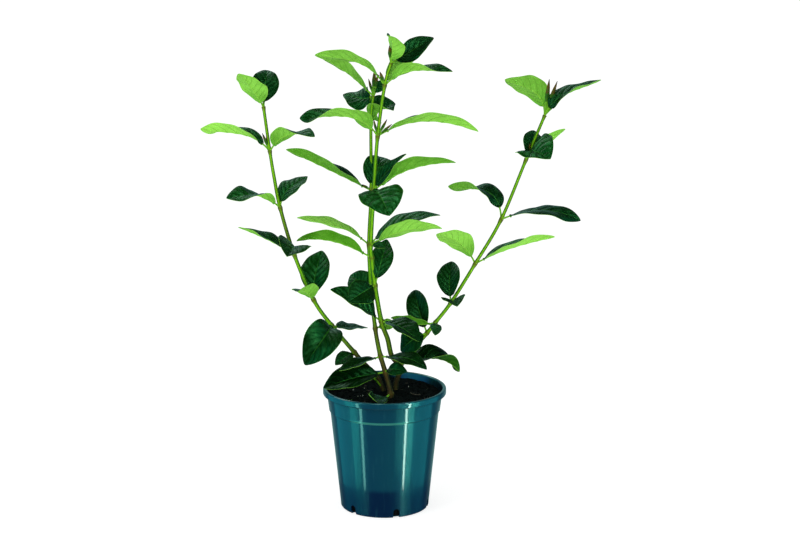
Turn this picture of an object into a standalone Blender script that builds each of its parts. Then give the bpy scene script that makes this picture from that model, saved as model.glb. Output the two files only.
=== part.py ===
"""A young laurustinus shrub, growing in compost in a tall round nursery pot.

The origin is the middle of the pot's underside, +Z is up, and the side that the plant is usually
looked at from is -Y. Run it with: blender --background --python part.py
"""

import math
from collections import namedtuple

import bmesh
import bpy
from mathutils import Vector

# Pot, in metres. The diameter over the lip sets the scale of everything else.
RIM_RADIUS = 0.080
POT_HEIGHT = 0.160
BASE_RADIUS = 0.0575
WALL = 0.0015
FLOOR = 0.0020
LIP_HEIGHT = 0.008
LIP_OVERHANG = 0.0052
LIP_THICKNESS = 0.0050
LIP_ROUND = 0.0022
LIP_CORNER = 0.0012
COLLAR_HEIGHT = 0.021
COLLAR_TAPER = 0.0026
COLLAR_STEP = 0.0014
CORNER = 0.0025
POT_SIDES = 40

# Drain slots in the pot's lower edge, each with an arched top. The slot's cutter overruns the floor.
SLOT_COUNT = 6
SLOT_WIDTH = 0.0084
SLOT_HEIGHT = 0.0122
SLOT_DEPTH = 0.0060
SLOT_OVERRUN = 0.0040
SLOT_ARCH_STEPS = 6
FIRST_SLOT_ANGLE = math.radians(15.5)

# Compost: long swells, short lumps, a low heap round the stems and a slow rise towards the back. The
# rings are shares of its radius.
SOIL_BELOW_RIM = 0.010
SOIL_RELIEF = 0.0011
SOIL_SWELL = 0.032
SOIL_LUMP = 0.013
SOIL_HEAP = 0.040
SOIL_RISE = 0.0030
SOIL_RINGS = (0.16, 0.38, 0.60, 0.82)

# Clearance that neighbouring pieces keep.
GAP = 0.0003

# Stems. Each radius is at the soil and at the tip.
STEM_SIDES = 8
STEM_STEPS = 2
BURIED = 0.030
NODE_SWELL = 0.22
NODE_REACH = 0.0035
LEFT_RADII = (0.0033, 0.0019)
CENTRE_RADII = (0.0035, 0.0018)
TRUNK_RADII = (0.0038, 0.0019)
BRANCH_RADII = (0.0030, 0.0019)
SHOOT_RADIUS = 0.0011

# Leaves. WIDEST_SHIFT under 1 puts a blade's widest place nearer its base, and a lower BLUNTNESS fills
# out both ends. The waves' and the bulge's heights are shares of the half width, and a blade turns from
# its first lean to its second over TURN_SPAN of its length.
LEAF_THICKNESS = 0.0007
PETIOLE_RADIUS = 0.0011
PETIOLE_SHARE = 0.12
PETIOLE_RANGE = (0.005, 0.011)
ROOT_DEPTH = 0.0007
TIP_HALF_WIDTH = 0.0005
WIDEST_SHIFT = 0.88
BLUNTNESS = 0.78
WAVES = 2.6
WAVE_HEIGHT = 0.05
HALF_BULGE = 0.05
TURN_SPAN = 0.70

# Rows of points along a blade and columns across it. A leaf shorter than SMALL_LEAF has fewer columns.
# NUDGE is the step, as a share, that a surface's direction is measured over.
BLADE_ROWS = (0.0, 0.12, 0.30, 0.50, 0.70, 0.88, 1.0)
WIDE_COLUMNS = (-1.0, -0.5, 0.0, 0.5, 1.0)
NARROW_COLUMNS = (-1.0, 0.0, 1.0)
SMALL_LEAF = 0.045
NUDGE = 0.02

# Share of a bud's length, from just inside the stem, and share of its full width there.
BUD_SHAPE = ((-0.03, 0.45), (0.3, 0.8), (0.55, 1.0), (0.8, 0.62), (1.0, 0.12))

MM = 0.001

# The stems' places in millimetres: right, back and up from the origin. A leaf pair grows at each
# name that starts with n, and the other places only bend the stem.
LEFT_STEM = {
    "foot": (-1, 10, 150),
    "rise": (-5, 9, 161),
    "bend": (-10, 8, 173),
    "lean": (-23, 6, 186),
    "n0": (-39, 4, 205),
    "n1": (-68, 0, 242),
    "n2": (-91, -3, 277),
    "n3": (-115, -6, 337),
    "n4": (-132, -8, 398),
    "slight": (-139, -9, 437),
    "n5": (-144, -10, 471),
    "n6": (-151, -12, 528),
}
CENTRE_STEM = {
    "foot": (7, -19, 150),
    "nb": (8, -19, 156),
    "nl": (1, -16, 184),
    "n0": (-5, -12, 204),
    "bend": (-9, -2, 220),
    "n1": (-12, 8, 236),
    "n3": (-17, 15, 280),
    "n4": (-20, 20, 344),
    "n5": (-17, 23, 415),
    "n6": (-17, 26, 502),
    "n7": (-14, 28, 536),
}
TRUNK = {
    "foot": (14, 14, 150),
    "rise": (15, 14, 162),
    "fork": (20, 12, 182),
    "bend": (9, 8, 200),
    "straight": (4, 4, 223),
    "n2": (-4, -2, 248),
    "n3": (-12, -8, 297),
    "n4b": (-16, -11, 334),
    "n4": (-17, -12, 352),
    "n5": (-13, -16, 422),
    "n6": (-8, -20, 492),
    "n7": (1, -22, 556),
    "n8": (9, -22, 584),
}
BRANCH = {
    "fork": (17, 13, 172),
    "elbow": (23, 12, 188),
    "bend": (38, 13, 204),
    "n0": (42, 14, 212),
    "n1": (55, 15, 228),
    "n1b": (66, 16, 242),
    "n2": (86, 18, 268),
    "n3": (117, 20, 319),
    "n4": (150, 22, 377),
    "n5": (181, 22, 455),
    "n6": (204, 22, 512),
}

# node: where it grows. reach: from there to its tip, right, back and up. width and arch: its size
# across and the height of its bow, all in millimetres. leans: degrees that its glossy top leans from
# looking up towards looking at -Y, near its base and near its tip. fold: degrees that each half rises
# from the midrib. side: degrees that its top looks to the right. turn: share of its length where it
# is halfway between its leans. skew: how far the bow's highest place lies towards the tip.
Leaf = namedtuple("Leaf", "node reach width arch leans fold side turn skew", defaults=(0, 0.5, 0.0))
Bud = namedtuple("Bud", "node reach width")

LEFT_LEAVES = (
    Leaf("n6", (-27, -35, 46), 42, 2, (-67, -33), 11, 18, 0.22, 0.09),
    Leaf("n6", (3, 29, 42), 36, 8, (66, 75), 15, 3, 0.4, 0.46),
    Leaf("n5", (-87, 2, 28), 38, 11, (-1, -80), 27, -24, 0.81, -0.83),
    Leaf("n5", (58, -34, 24), 44, 12, (-26, 22), 15, -5, 0.75, -0.13),
    Leaf("n4", (-66, -24, 17), 42, 10, (-18, 35), 12, 1, 0.61, -0.19),
    Leaf("n4", (34, 20, 37), 34, 9, (61, 36), 11, -32, 0.4, -0.8),
    Leaf("n3", (-72, 16, 32), 31, 2, (6, -16), 21, 7, 0.7, -0.21),
    Leaf("n3", (-6, -62, 11), 47, 11, (-1, 11), 22, 17, 0.62, -0.38),
    Leaf("n2", (10, 29, 58), 41, 9, (77, 71), 18, -15, 0.48, -0.53),
    Leaf("n2", (-18, -36, 19), 36, 5, (-44, -62), 18, 7, 0.48, 0.52),
    Leaf("n1", (-33, -46, -40), 51, 22, (71, 43), 28, 15, 0.21, -0.17),
    Leaf("n1", (46, 30, -11), 31, -2, (22, 0), 14, 3, 0.38, -0.23),
    Leaf("n0", (-24, -26, -10), 20, 3, (42, 50), 13, -6, 0.52, 0.03),
)
CENTRE_LEAVES = (
    Leaf("nb", (-27, -61, 17), 24, -9, (1, 49), 19, 10, 0.42, -0.32),
    Leaf("nl", (-79, -16, -17), 42, 4, (32, 38), 25, 3, 0.39, 0.18),
    Leaf("nl", (28, -19, 6), 18, 6, (17, 60), 12, -10, 0.32, -0.27),
    Leaf("n0", (-52, -29, -11), 28, 0, (-1, 13), 18, 0, 0.62, 0.06),
    Leaf("n0", (59, -27, -10), 31, 7, (-1, 22), 7, 3, 0.4, 0.59),
    Leaf("n1", (27, 4, 5), 18, 2, (-65, -72), 10, 2, 0.49, 0.04),
    Leaf("n3", (-27, 19, 21), 34, 6, (49, 60), 12, -5, 0.45, -0.06),
    Leaf("n4", (-93, 12, 33), 37, 8, (-27, -32), 11, 9, 0.53, -0.36),
    Leaf("n4", (92, 9, 37), 37, 12, (19, 10), 8, -7, 0.54, 0.09),
    Leaf("n5", (11, 25, 39), 44, 12, (83, 68), 19, 10, 0.49, 0.37),
    Leaf("n5", (-108, -8, 54), 43, 0, (0, -46), 26, 0, 0.71, 0.02),
    Leaf("n6", (31, 21, 21), 44, 5, (-80, 24), 21, 11, 0.4, 0.28),
    Leaf("n7", (-67, -12, 51), 32, 4, (-2, -34), 22, 1, 0.5, 0.35),
    Leaf("n7", (-39, 26, -2), 40, -6, (64, 15), 4, -7, 0.49, -0.27),
    Leaf("n7", (14, 6, 19), 14, 2, (60, 60), 12, 0, 0.5, 0),
)
FORKED_LEAVES = (
    Leaf("n2", (-65, -13, 45), 42, 2, (22, 26), 29, -1, 0.28, 0.27),
    Leaf("n2", (48, -36, -17), 42, 5, (3, 11), 20, 1, 0.44, 0.05),
    Leaf("n3", (15, 33, 53), 29, 13, (68, 67), 9, 3, 0.53, -0.62),
    Leaf("n3", (-33, -36, -13), 36, 3, (64, 53), 9, 6, 0.57, 0.08),
    Leaf("n4b", (-95, -11, 24), 39, 10, (-27, -47), 25, 4, 0.75, 0.19),
    Leaf("n4", (90, -14, 23), 39, 8, (-38, -37), 14, -4, 0.58, 0.08),
    Leaf("n4", (17, -14, -2), 12, 2, (44, 39), 11, -3, 0.49, 0.02),
    Leaf("n5", (41, -14, 49), 20, 4, (49, 16), 19, -8, 0.56, -0.19),
    Leaf("n5", (103, -2, 36), 43, 11, (-43, -17), 28, 7, 0.33, -0.11),
    Leaf("n5", (20, -58, -21), 59, 8, (30, 41), 15, -1, 0.65, -0.23),
    Leaf("n6", (-97, -9, 24), 49, 21, (-16, 88), 18, -25, 0.87, -0.59),
    Leaf("n6", (126, -1, 6), 42, 16, (-9, -38), 24, 2, 0.68, -0.18),
    Leaf("n7", (-87, 7, 37), 36, 14, (-22, -55), 16, 12, 0.72, -0.43),
    Leaf("n7", (84, -12, 19), 34, 10, (-32, 24), 25, 9, 0.6, -0.61),
    Leaf("n7", (47, 20, 41), 28, 9, (-53, -49), 14, 5, 0.47, -0.36),
    Leaf("n8", (-5, -24, 37), 33, 6, (-54, -65), 25, 48, 0.49, 0.56),
    Leaf("n8", (53, 11, 30), 29, 1, (84, 35), 25, 15, 0.52, 0.12),
)
BRANCH_LEAVES = (
    Leaf("n6", (-51, 4, 45), 42, 18, (-51, -40), 18, 0, 0.48, -0.68),
    Leaf("n6", (70, -6, 46), 38, 10, (54, -2), 17, 9, 0.28, -0.84),
    Leaf("n5", (28, -43, 8), 60, 10, (-5, 16), 25, -21, 0.42, -0.4),
    Leaf("n5", (11, 21, 34), 28, 9, (85, 59), 13, 12, 0.43, -0.42),
    Leaf("n5", (49, -4, 40), 19, 3, (-29, -38), 11, 1, 0.5, -0.06),
    Leaf("n4", (-68, 16, 40), 42, 19, (10, -54), 11, -10, 0.69, -0.64),
    Leaf("n4", (101, -12, 1), 41, 17, (4, 65), 2, 10, 0.83, 0.07),
    Leaf("n3", (-50, -27, 45), 40, 12, (-45, -49), 12, 5, 0.45, -0.36),
    Leaf("n3", (102, -3, 36), 36, 4, (-3, -55), 24, -9, 0.79, -0.37),
    Leaf("n2", (1, 33, 47), 35, 8, (62, 80), 28, -14, 0.41, -0.52),
    Leaf("n2", (7, -38, 4), 35, 4, (-6, 20), 24, -5, 0.58, 0.08),
    Leaf("n1b", (-58, 4, 5), 33, -5, (-28, -38), 14, 6, 0.5, -0.3),
    Leaf("n1", (-16, 34, 49), 33, 9, (86, 68), 28, -10, 0.49, 0.09),
    Leaf("n1b", (-1, -32, -9), 16, 2, (31, 58), 9, 11, 0.44, -0.18),
    Leaf("n1", (-34, -1, -24), 32, 8, (60, 40), 9, -3, 0.71, -0.29),
    Leaf("elbow", (74, -8, -9), 45, 12, (15, -73), 27, 2, 0.77, 0.39),
)

LEFT_BUDS = (
    Bud("n5", (-9, -4, 24), 4.1),
    Bud("n5", (-4, -2, 23), 4.1),
    Bud("n6", (1, 1, 14), 4.3),
)
CENTRE_BUDS = (
    Bud("n5", (-11, -3, 8), 3.5),
    Bud("n7", (-6, 0, 22), 3.8),
    Bud("n7", (2, 1, 34), 5.9),
    Bud("n7", (6, -2, 28), 4.9),
)
FORKED_BUDS = (
    Bud("n6", (12, -3, 22), 4.1),
    Bud("n6", (18, -4, 16), 3.8),
    Bud("n6", (-5, -3, 22), 3.8),
    Bud("n7", (-6, -4, 18), 4.9),
    Bud("n8", (-2, -2, 22), 6.2),
)
BRANCH_BUDS = (
    Bud("n5", (5, -3, 22), 4.1),
    Bud("n6", (5, 0, 46), 6.2),
    Bud("n6", (15, -3, 44), 5.9),
    Bud("n6", (18, -2, 22), 4.6),
)

# A thin low shoot from the left stem's foot, with one small leaf.
LOW_SHOOT = ((-3, 9, 156), (-9, 4, 165), (-17, 0, 175), (-21, -2, 183))
LOW_SHOOT_LEAF = Leaf("end", (-20, -6, -7), 11, 2, (50, 50), 12)


def principled(name, colour, roughness):
    """A plain painted look for one sub-part."""
    material = bpy.data.materials.new(name)
    material.use_nodes = True
    shader = material.node_tree.nodes["Principled BSDF"]
    shader.inputs["Base Color"].default_value = (*colour, 1.0)
    shader.inputs["Roughness"].default_value = roughness
    shader.inputs["Metallic"].default_value = 0.0
    material.diffuse_color = (*colour, 1.0)
    return material


def pot_material():
    return principled("teal_plastic", (0.010, 0.095, 0.125), 0.28)


def soil_material():
    return principled("dark_compost", (0.012, 0.009, 0.008), 0.95)


def plant_material():
    return principled("laurustinus_green", (0.020, 0.120, 0.025), 0.35)


def mesh_object(name, points, faces, material):
    """An object from points and faces, with its faces pointing out."""
    mesh = bpy.data.meshes.new(name)
    mesh.from_pydata(points, [], faces)
    mesh.materials.append(material)
    obj = bpy.data.objects.new(name, mesh)
    bpy.context.scene.collection.objects.link(obj)
    return obj


def turned(name, profile, sides, material):
    """A solid of revolution. The profile starts and ends on the axis, outside first."""
    inner = profile[1:-1]
    points = [Vector((0.0, 0.0, profile[0][1])), Vector((0.0, 0.0, profile[-1][1]))]
    for radius, height in inner:
        for side in range(sides):
            angle = math.tau * side / sides
            points.append(Vector((radius * math.cos(angle), radius * math.sin(angle), height)))
    faces = []
    last = 2 + (len(inner) - 1) * sides
    for side in range(sides):
        after = (side + 1) % sides
        faces.append((0, 2 + after, 2 + side))
        for row in range(len(inner) - 1):
            low = 2 + row * sides
            high = low + sides
            faces.append((low + side, low + after, high + after, high + side))
        faces.append((1, last + side, last + after))
    return mesh_object(name, points, faces, material)


def apply_boolean(obj, operation, solver, other=None, collection=None):
    """Applies a Boolean with one object or with a collection, which is then removed."""
    modifier = obj.modifiers.new("Join", "BOOLEAN")
    modifier.operation = operation
    modifier.solver = solver
    if collection is None:
        modifier.object = other
        used = [other]
    else:
        modifier.operand_type = "COLLECTION"
        modifier.collection = collection
        used = list(collection.objects)
    bpy.context.view_layer.update()
    graph = bpy.context.evaluated_depsgraph_get()
    mesh = bpy.data.meshes.new_from_object(obj.evaluated_get(graph))
    obj.modifiers.clear()
    obj.data = mesh
    for tool in used:
        bpy.data.objects.remove(tool)
    if collection is not None:
        bpy.data.collections.remove(collection)


def split_into_triangles(obj):
    """Makes every face flat, so that a Boolean cuts it cleanly."""
    shape = bmesh.new()
    shape.from_mesh(obj.data)
    bmesh.ops.triangulate(shape, faces=shape.faces[:])
    shape.to_mesh(obj.data)
    shape.free()


def keep_main_body(obj):
    """Drops loose scraps and fills sealed hollows, which are bodies of their own in the mesh."""
    shape = bmesh.new()
    shape.from_mesh(obj.data)
    unseen = set(shape.verts)
    bodies = []
    while unseen:
        body = set()
        edge_of_search = [unseen.pop()]
        while edge_of_search:
            vert = edge_of_search.pop()
            body.add(vert)
            for edge in vert.link_edges:
                neighbour = edge.other_vert(vert)
                if neighbour in unseen:
                    unseen.discard(neighbour)
                    edge_of_search.append(neighbour)
        bodies.append(body)
    bodies.sort(key=len)
    scraps = [vert for body in bodies[:-1] for vert in body]
    bmesh.ops.delete(shape, geom=scraps, context="VERTS")
    bmesh.ops.triangulate(shape, faces=shape.faces[:])
    shape.to_mesh(obj.data)
    shape.free()


def smooth(obj, angle):
    obj.data.shade_smooth()
    obj.data.set_sharp_from_angle(angle=math.radians(angle))


def body_radius(height):
    """Outer radius of the pot's plain tapered body."""
    top = POT_HEIGHT - LIP_HEIGHT - COLLAR_HEIGHT
    return BASE_RADIUS + (collar_foot() - COLLAR_STEP - BASE_RADIUS) * height / top


def collar_foot():
    """Outer radius of the collar's lower edge."""
    return RIM_RADIUS - LIP_OVERHANG - COLLAR_TAPER


def corner(centre, size, start):
    """Three profile points of a quarter round, from this angle on, where 0 is outwards and 90 is up."""
    turns = [math.radians(start + 45 * step) for step in range(3)]
    return [(centre[0] + size * math.cos(turn), centre[1] + size * math.sin(turn)) for turn in turns]


def pot_outside():
    """Profile of the pot's outside, from the middle of its underside to the inner edge of the lip."""
    lip_foot = POT_HEIGHT - LIP_HEIGHT
    step = lip_foot - COLLAR_HEIGHT
    lip_top = POT_HEIGHT - LIP_ROUND
    profile = [(0.0, 0.0)]
    profile += corner((BASE_RADIUS - CORNER, CORNER), CORNER, -90)
    profile += [
        (body_radius(step - COLLAR_STEP), step - COLLAR_STEP),
        (collar_foot(), step),
        (RIM_RADIUS - LIP_OVERHANG, lip_foot - LIP_CORNER / 2),
        (RIM_RADIUS - LIP_CORNER, lip_foot),
        (RIM_RADIUS, lip_foot + LIP_CORNER),
    ]
    profile += corner((RIM_RADIUS - LIP_ROUND, lip_top), LIP_ROUND, 0)
    profile += corner((RIM_RADIUS - LIP_THICKNESS + LIP_ROUND, lip_top), LIP_ROUND, 90)
    return profile


def pot_inside(clearance):
    """Profile of the pot's inside, from under the lip down to the middle of the floor."""
    lip_foot = POT_HEIGHT - LIP_HEIGHT
    step = lip_foot - COLLAR_HEIGHT
    inset = WALL + clearance
    floor = FLOOR + clearance
    return [
        (RIM_RADIUS - LIP_OVERHANG - inset, lip_foot),
        (collar_foot() - inset, step),
        (body_radius(step - COLLAR_STEP) - inset, step - COLLAR_STEP),
        (BASE_RADIUS - inset, floor + CORNER),
        (BASE_RADIUS - 0.5 * CORNER - inset, floor),
        (0.0, floor),
    ]


def slot_cutter(angle):
    """A radial arch-topped bar, from below the floor up through the wall."""
    half = SLOT_WIDTH / 2
    outline = [(-half, -SLOT_OVERRUN), (half, -SLOT_OVERRUN)]
    for step in range(SLOT_ARCH_STEPS + 1):
        turn = math.pi * step / SLOT_ARCH_STEPS
        outline.append((half * math.cos(turn), SLOT_HEIGHT - half + half * math.sin(turn)))
    forward = Vector((math.sin(angle), -math.cos(angle), 0.0))
    sideways = Vector((math.cos(angle), math.sin(angle), 0.0))
    points = []
    for distance in (BASE_RADIUS - SLOT_DEPTH, BASE_RADIUS + SLOT_DEPTH):
        for across, height in outline:
            points.append(forward * distance + sideways * across + Vector((0.0, 0.0, height)))
    count = len(outline)
    faces = [tuple(reversed(range(count))), tuple(range(count, 2 * count))]
    for index in range(count):
        after = (index + 1) % count
        faces.append((index, after, after + count, index + count))
    return points, faces


def make_pot():
    material = pot_material()
    pot = turned("pot", pot_outside() + pot_inside(0.0), POT_SIDES, material)
    for slot in range(SLOT_COUNT):
        points, faces = slot_cutter(FIRST_SLOT_ANGLE + math.tau * slot / SLOT_COUNT)
        cutter = mesh_object("slot", points, faces, material)
        apply_boolean(pot, "DIFFERENCE", "EXACT", other=cutter)
    smooth(pot, 30)
    return pot


def soil_height(x, y):
    """Uneven top of the compost, a little higher round the stems."""
    swell = math.sin(math.tau * x / SOIL_SWELL + 1.3) * math.cos(math.tau * y / SOIL_SWELL + 0.4)
    lumps = math.sin(math.tau * (x - 0.6 * y) / SOIL_LUMP) * math.cos(math.tau * (y + 0.5 * x) / SOIL_LUMP)
    heap = math.exp(-(x * x + y * y) / SOIL_HEAP**2)
    rise = SOIL_RISE * max(y, 0.0) / (RIM_RADIUS - LIP_OVERHANG)
    return POT_HEIGHT - SOIL_BELOW_RIM + SOIL_RELIEF * (0.6 * swell + 0.4 * lumps + heap - 0.5) + rise


def make_soil():
    """Compost that fills the pot, with its top as relief and a plain hole for each stem."""
    material = soil_material()
    side = pot_inside(GAP)
    level = POT_HEIGHT - SOIL_BELOW_RIM
    share = (level - side[1][1]) / (side[0][1] - side[1][1])
    edge = side[1][0] + (side[0][0] - side[1][0]) * share
    profile = side[::-1][:-1] + [(edge, level)]
    profile += [(edge * ring, level) for ring in reversed(SOIL_RINGS)]
    profile.append((0.0, level))
    soil = turned("soil", profile, POT_SIDES, material)
    for vert in soil.data.vertices:
        if vert.co.z > level - GAP:
            vert.co.z = soil_height(vert.co.x, vert.co.y)
    split_into_triangles(soil)
    for stem, radii in ((LEFT_STEM, LEFT_RADII), (CENTRE_STEM, CENTRE_RADII), (TRUNK, TRUNK_RADII)):
        foot = Vector(stem["foot"]) * MM
        hole = radii[0] * (1.0 + NODE_SWELL) + 1.5 * GAP
        bottom = foot.z - BURIED - GAP
        ends = [Vector((foot.x, foot.y, bottom)), Vector((foot.x, foot.y, POT_HEIGHT))]
        points, faces = tube(ends, [hole, hole])
        cutter = mesh_object("hole", points, faces, material)
        apply_boolean(soil, "DIFFERENCE", "MANIFOLD", other=cutter)
    smooth(soil, 50)
    return soil


def through(places, steps):
    """Points of a smooth curve through the places, with this many steps from each to the next."""
    ends = [2 * places[0] - places[1]] + places + [2 * places[-1] - places[-2]]
    points = []
    for index in range(len(places) - 1):
        before, start, end, after = ends[index : index + 4]
        for step in range(steps):
            share = step / steps
            linear = (end - before) * share
            square = (2 * before - 5 * start + 4 * end - after) * share**2
            cube = (3 * start - before - 3 * end + after) * share**3
            points.append(start + 0.5 * (linear + square + cube))
    points.append(places[-1])
    return points


def tube(points, radii):
    """Points and faces of a round bar along the points, with flat ends."""
    rings = []
    side = Vector((1.0, 0.0, 0.0))
    for index, point in enumerate(points):
        before = points[max(index - 1, 0)]
        after = points[min(index + 1, len(points) - 1)]
        along = (after - before).normalized()
        side = (side - along * side.dot(along)).normalized()
        up = along.cross(side)
        for turn in range(STEM_SIDES):
            angle = math.tau * turn / STEM_SIDES
            rings.append(point + radii[index] * (side * math.cos(angle) + up * math.sin(angle)))
    faces = [tuple(reversed(range(STEM_SIDES)))]
    for row in range(len(points) - 1):
        low = row * STEM_SIDES
        high = low + STEM_SIDES
        for turn in range(STEM_SIDES):
            after = (turn + 1) % STEM_SIDES
            faces.append((low + turn, low + after, high + after, high + turn))
    start = (len(points) - 1) * STEM_SIDES
    faces.append(tuple(range(start, start + STEM_SIDES)))
    return rings, faces


def stem_mesh(stem, radii, buried):
    """One stem from its places, thicker at its nodes, standing upright below the soil's top."""
    places = [Vector(place) * MM for place in stem.values()]
    nodes = [Vector(place) * MM for name, place in stem.items() if name.startswith("n")]
    points = through(places, STEM_STEPS)
    if buried:
        points.insert(0, points[0] - Vector((0.0, 0.0, BURIED)))
    widths = []
    for index, point in enumerate(points):
        share = index / (len(points) - 1)
        nearest = min((point - node).length for node in nodes)
        swell = 1.0 + NODE_SWELL * math.exp(-((nearest / NODE_REACH) ** 2))
        widths.append((radii[0] + (radii[1] - radii[0]) * share) * swell)
    return tube(points, widths)


def half_width(along, width):
    """Half the blade's width. The outline is oval, widest before the middle, with a short point."""
    outline = math.sin(math.pi * min(along, 1.0) ** WIDEST_SHIFT)
    return TIP_HALF_WIDTH + (width / 2 - TIP_HALF_WIDTH) * max(outline, 0.0) ** BLUNTNESS


def look_of(lean, side):
    """The direction that a blade's top looks to."""
    lean = math.radians(lean)
    side = math.radians(side)
    return Vector((math.sin(side), -math.sin(lean) * math.cos(side), math.cos(lean) * math.cos(side)))


def eased(share):
    """A smooth step from 0 to 1."""
    share = min(max(share, 0.0), 1.0)
    return share * share * (3.0 - 2.0 * share)


def leaf_surface(root, leaf, phase):
    """A function of the share along the leaf and across it, which gives the place of its top."""
    reach = Vector(leaf.reach) * MM
    length = reach.length
    way = reach / length
    base_look = look_of(leaf.leans[0], leaf.side)
    tip_look = look_of(leaf.leans[1], leaf.side)
    middle_look = base_look + tip_look
    bow = (middle_look - way * middle_look.dot(way)).normalized() * leaf.arch * MM
    petiole = min(max(length * PETIOLE_SHARE, PETIOLE_RANGE[0]), PETIOLE_RANGE[1]) / length
    fold = math.radians(leaf.fold)
    width = leaf.width * MM

    def spine(share):
        rise = 4.0 * share * (1.0 - share) * (1.0 + leaf.skew * (2.0 * share - 1.0))
        return root + reach * share + bow * rise

    def place(share, across):
        tangent = (spine(share + 0.001) - spine(share - 0.001)).normalized()
        look = base_look.lerp(tip_look, eased((share - leaf.turn) / TURN_SPAN + 0.5))
        normal = (look - tangent * look.dot(tangent)).normalized()
        side = normal.cross(tangent)
        along = (share - petiole) / (1.0 - petiole)
        if along < 0.0:
            return spine(share) + side * across * PETIOLE_RADIUS
        half = max(half_width(along, width), PETIOLE_RADIUS * (1.0 - along))
        off = abs(across)
        rise = half * off * math.sin(fold) + half * HALF_BULGE * 4.0 * off * (1.0 - off)
        wave = math.sin(math.tau * WAVES * along + phase + across) * half * WAVE_HEIGHT * off**2
        return spine(share) + side * across * half * math.cos(fold) + normal * (rise + wave)

    return place, petiole


def leaf_mesh(root, leaf, phase):
    """A closed thin blade with its petiole: top faces first, then bottom faces, then the rim."""
    place, petiole = leaf_surface(root, leaf, phase)
    length = Vector(leaf.reach).length * MM
    columns = NARROW_COLUMNS if length < SMALL_LEAF else WIDE_COLUMNS
    shares = [-ROOT_DEPTH / length] + [petiole + (1.0 - petiole) * row for row in BLADE_ROWS]
    top = []
    bottom = []
    for row, share in enumerate(shares):
        thickness = 2 * PETIOLE_RADIUS if row < 2 else LEAF_THICKNESS
        for across in columns:
            run = place(share + NUDGE, across) - place(share - NUDGE, across)
            before = place(share, max(across - NUDGE, -1.0))
            after = place(share, min(across + NUDGE, 1.0))
            normal = run.cross(after - before).normalized()
            point = place(share, across)
            top.append(point + normal * thickness / 2)
            bottom.append(point - normal * thickness / 2)
    count = len(columns)
    rows = len(shares)
    under = len(top)
    upper_faces = []
    lower_faces = []
    for row in range(rows - 1):
        for column in range(count - 1):
            a = row * count + column
            b = a + 1
            c = a + count
            d = c + 1
            upper_faces += [(a, d, b), (a, c, d)]
            lower_faces += [(under + a, under + b, under + d), (under + a, under + d, under + c)]
    loop = list(range(count))
    loop += [row * count + count - 1 for row in range(1, rows)]
    loop += [(rows - 1) * count + column for column in range(count - 2, -1, -1)]
    loop += [row * count for row in range(rows - 2, 0, -1)]
    rim = []
    for index, here in enumerate(loop):
        after = loop[(index + 1) % len(loop)]
        rim += [(here, under + after, under + here), (here, after, under + after)]
    return top + bottom, upper_faces + lower_faces + rim


def bud_mesh(root, bud):
    """A closed pointed bud."""
    reach = Vector(bud.reach) * MM
    points = [root + reach * share for share, width in BUD_SHAPE]
    return tube(points, [bud.width * MM * width / 2 for share, width in BUD_SHAPE])


def leaf_phase(index):
    """Where the wave of a blade's edge starts, different from leaf to leaf."""
    return 2.4 * index


def grow(name, stem_parts, leaves, buds, shoots=()):
    """One node: its stems with every leaf and bud fused on."""
    material = plant_material()
    main = mesh_object(name, *stem_parts[0], material)
    extra = bpy.data.collections.new(name + "_growth")
    bpy.context.scene.collection.children.link(extra)
    meshes = list(stem_parts[1:])
    meshes += [leaf_mesh(root, leaf, leaf_phase(index)) for index, (root, leaf) in enumerate(leaves)]
    meshes += [bud_mesh(root, bud) for root, bud in buds]
    meshes += list(shoots)
    for index, (points, faces) in enumerate(meshes):
        piece = mesh_object(f"{name}_{index}", points, faces, material)
        bpy.context.scene.collection.objects.unlink(piece)
        extra.objects.link(piece)
    apply_boolean(main, "UNION", "MANIFOLD", collection=extra)
    keep_main_body(main)
    smooth(main, 35)
    return main


def placed(stem, growths):
    """Each leaf or bud with the place on the stem that it grows from."""
    return [(Vector(stem[growth.node]) * MM, growth) for growth in growths]


def make_left_stem():
    shoot = [Vector(place) * MM for place in LOW_SHOOT]
    points = through(shoot, 2)
    shoot_mesh = tube(points, [SHOOT_RADIUS] * len(points))
    leaves = placed(LEFT_STEM, LEFT_LEAVES) + [(shoot[-1], LOW_SHOOT_LEAF)]
    stems = [stem_mesh(LEFT_STEM, LEFT_RADII, True)]
    return grow("left_stem", stems, leaves, placed(LEFT_STEM, LEFT_BUDS), [shoot_mesh])


def make_centre_stem():
    stems = [stem_mesh(CENTRE_STEM, CENTRE_RADII, True)]
    return grow("centre_stem", stems, placed(CENTRE_STEM, CENTRE_LEAVES), placed(CENTRE_STEM, CENTRE_BUDS))


def make_forked_stem():
    stems = [stem_mesh(TRUNK, TRUNK_RADII, True), stem_mesh(BRANCH, BRANCH_RADII, False)]
    leaves = placed(TRUNK, FORKED_LEAVES) + placed(BRANCH, BRANCH_LEAVES)
    buds = placed(TRUNK, FORKED_BUDS) + placed(BRANCH, BRANCH_BUDS)
    return grow("forked_stem", stems, leaves, buds)


def main():
    for obj in list(bpy.data.objects):
        bpy.data.objects.remove(obj)
    make_pot()
    make_soil()
    make_left_stem()
    make_centre_stem()
    make_forked_stem()


if __name__ == "__main__":
    main()
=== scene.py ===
# %% [markdown]
# # A young laurustinus in a nursery pot
# A garden shrub stands in dark compost in a tall teal pot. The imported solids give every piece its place
# and its size, so the first cell loads them as a fixed frame. All that follows is drawn round that
# frame, in metres, with the pot's underside at zero and the usual viewing side towards -Y.

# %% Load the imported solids
import math
import random

import bmesh
import bpy
import numpy as np
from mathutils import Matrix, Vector, noise


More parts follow.
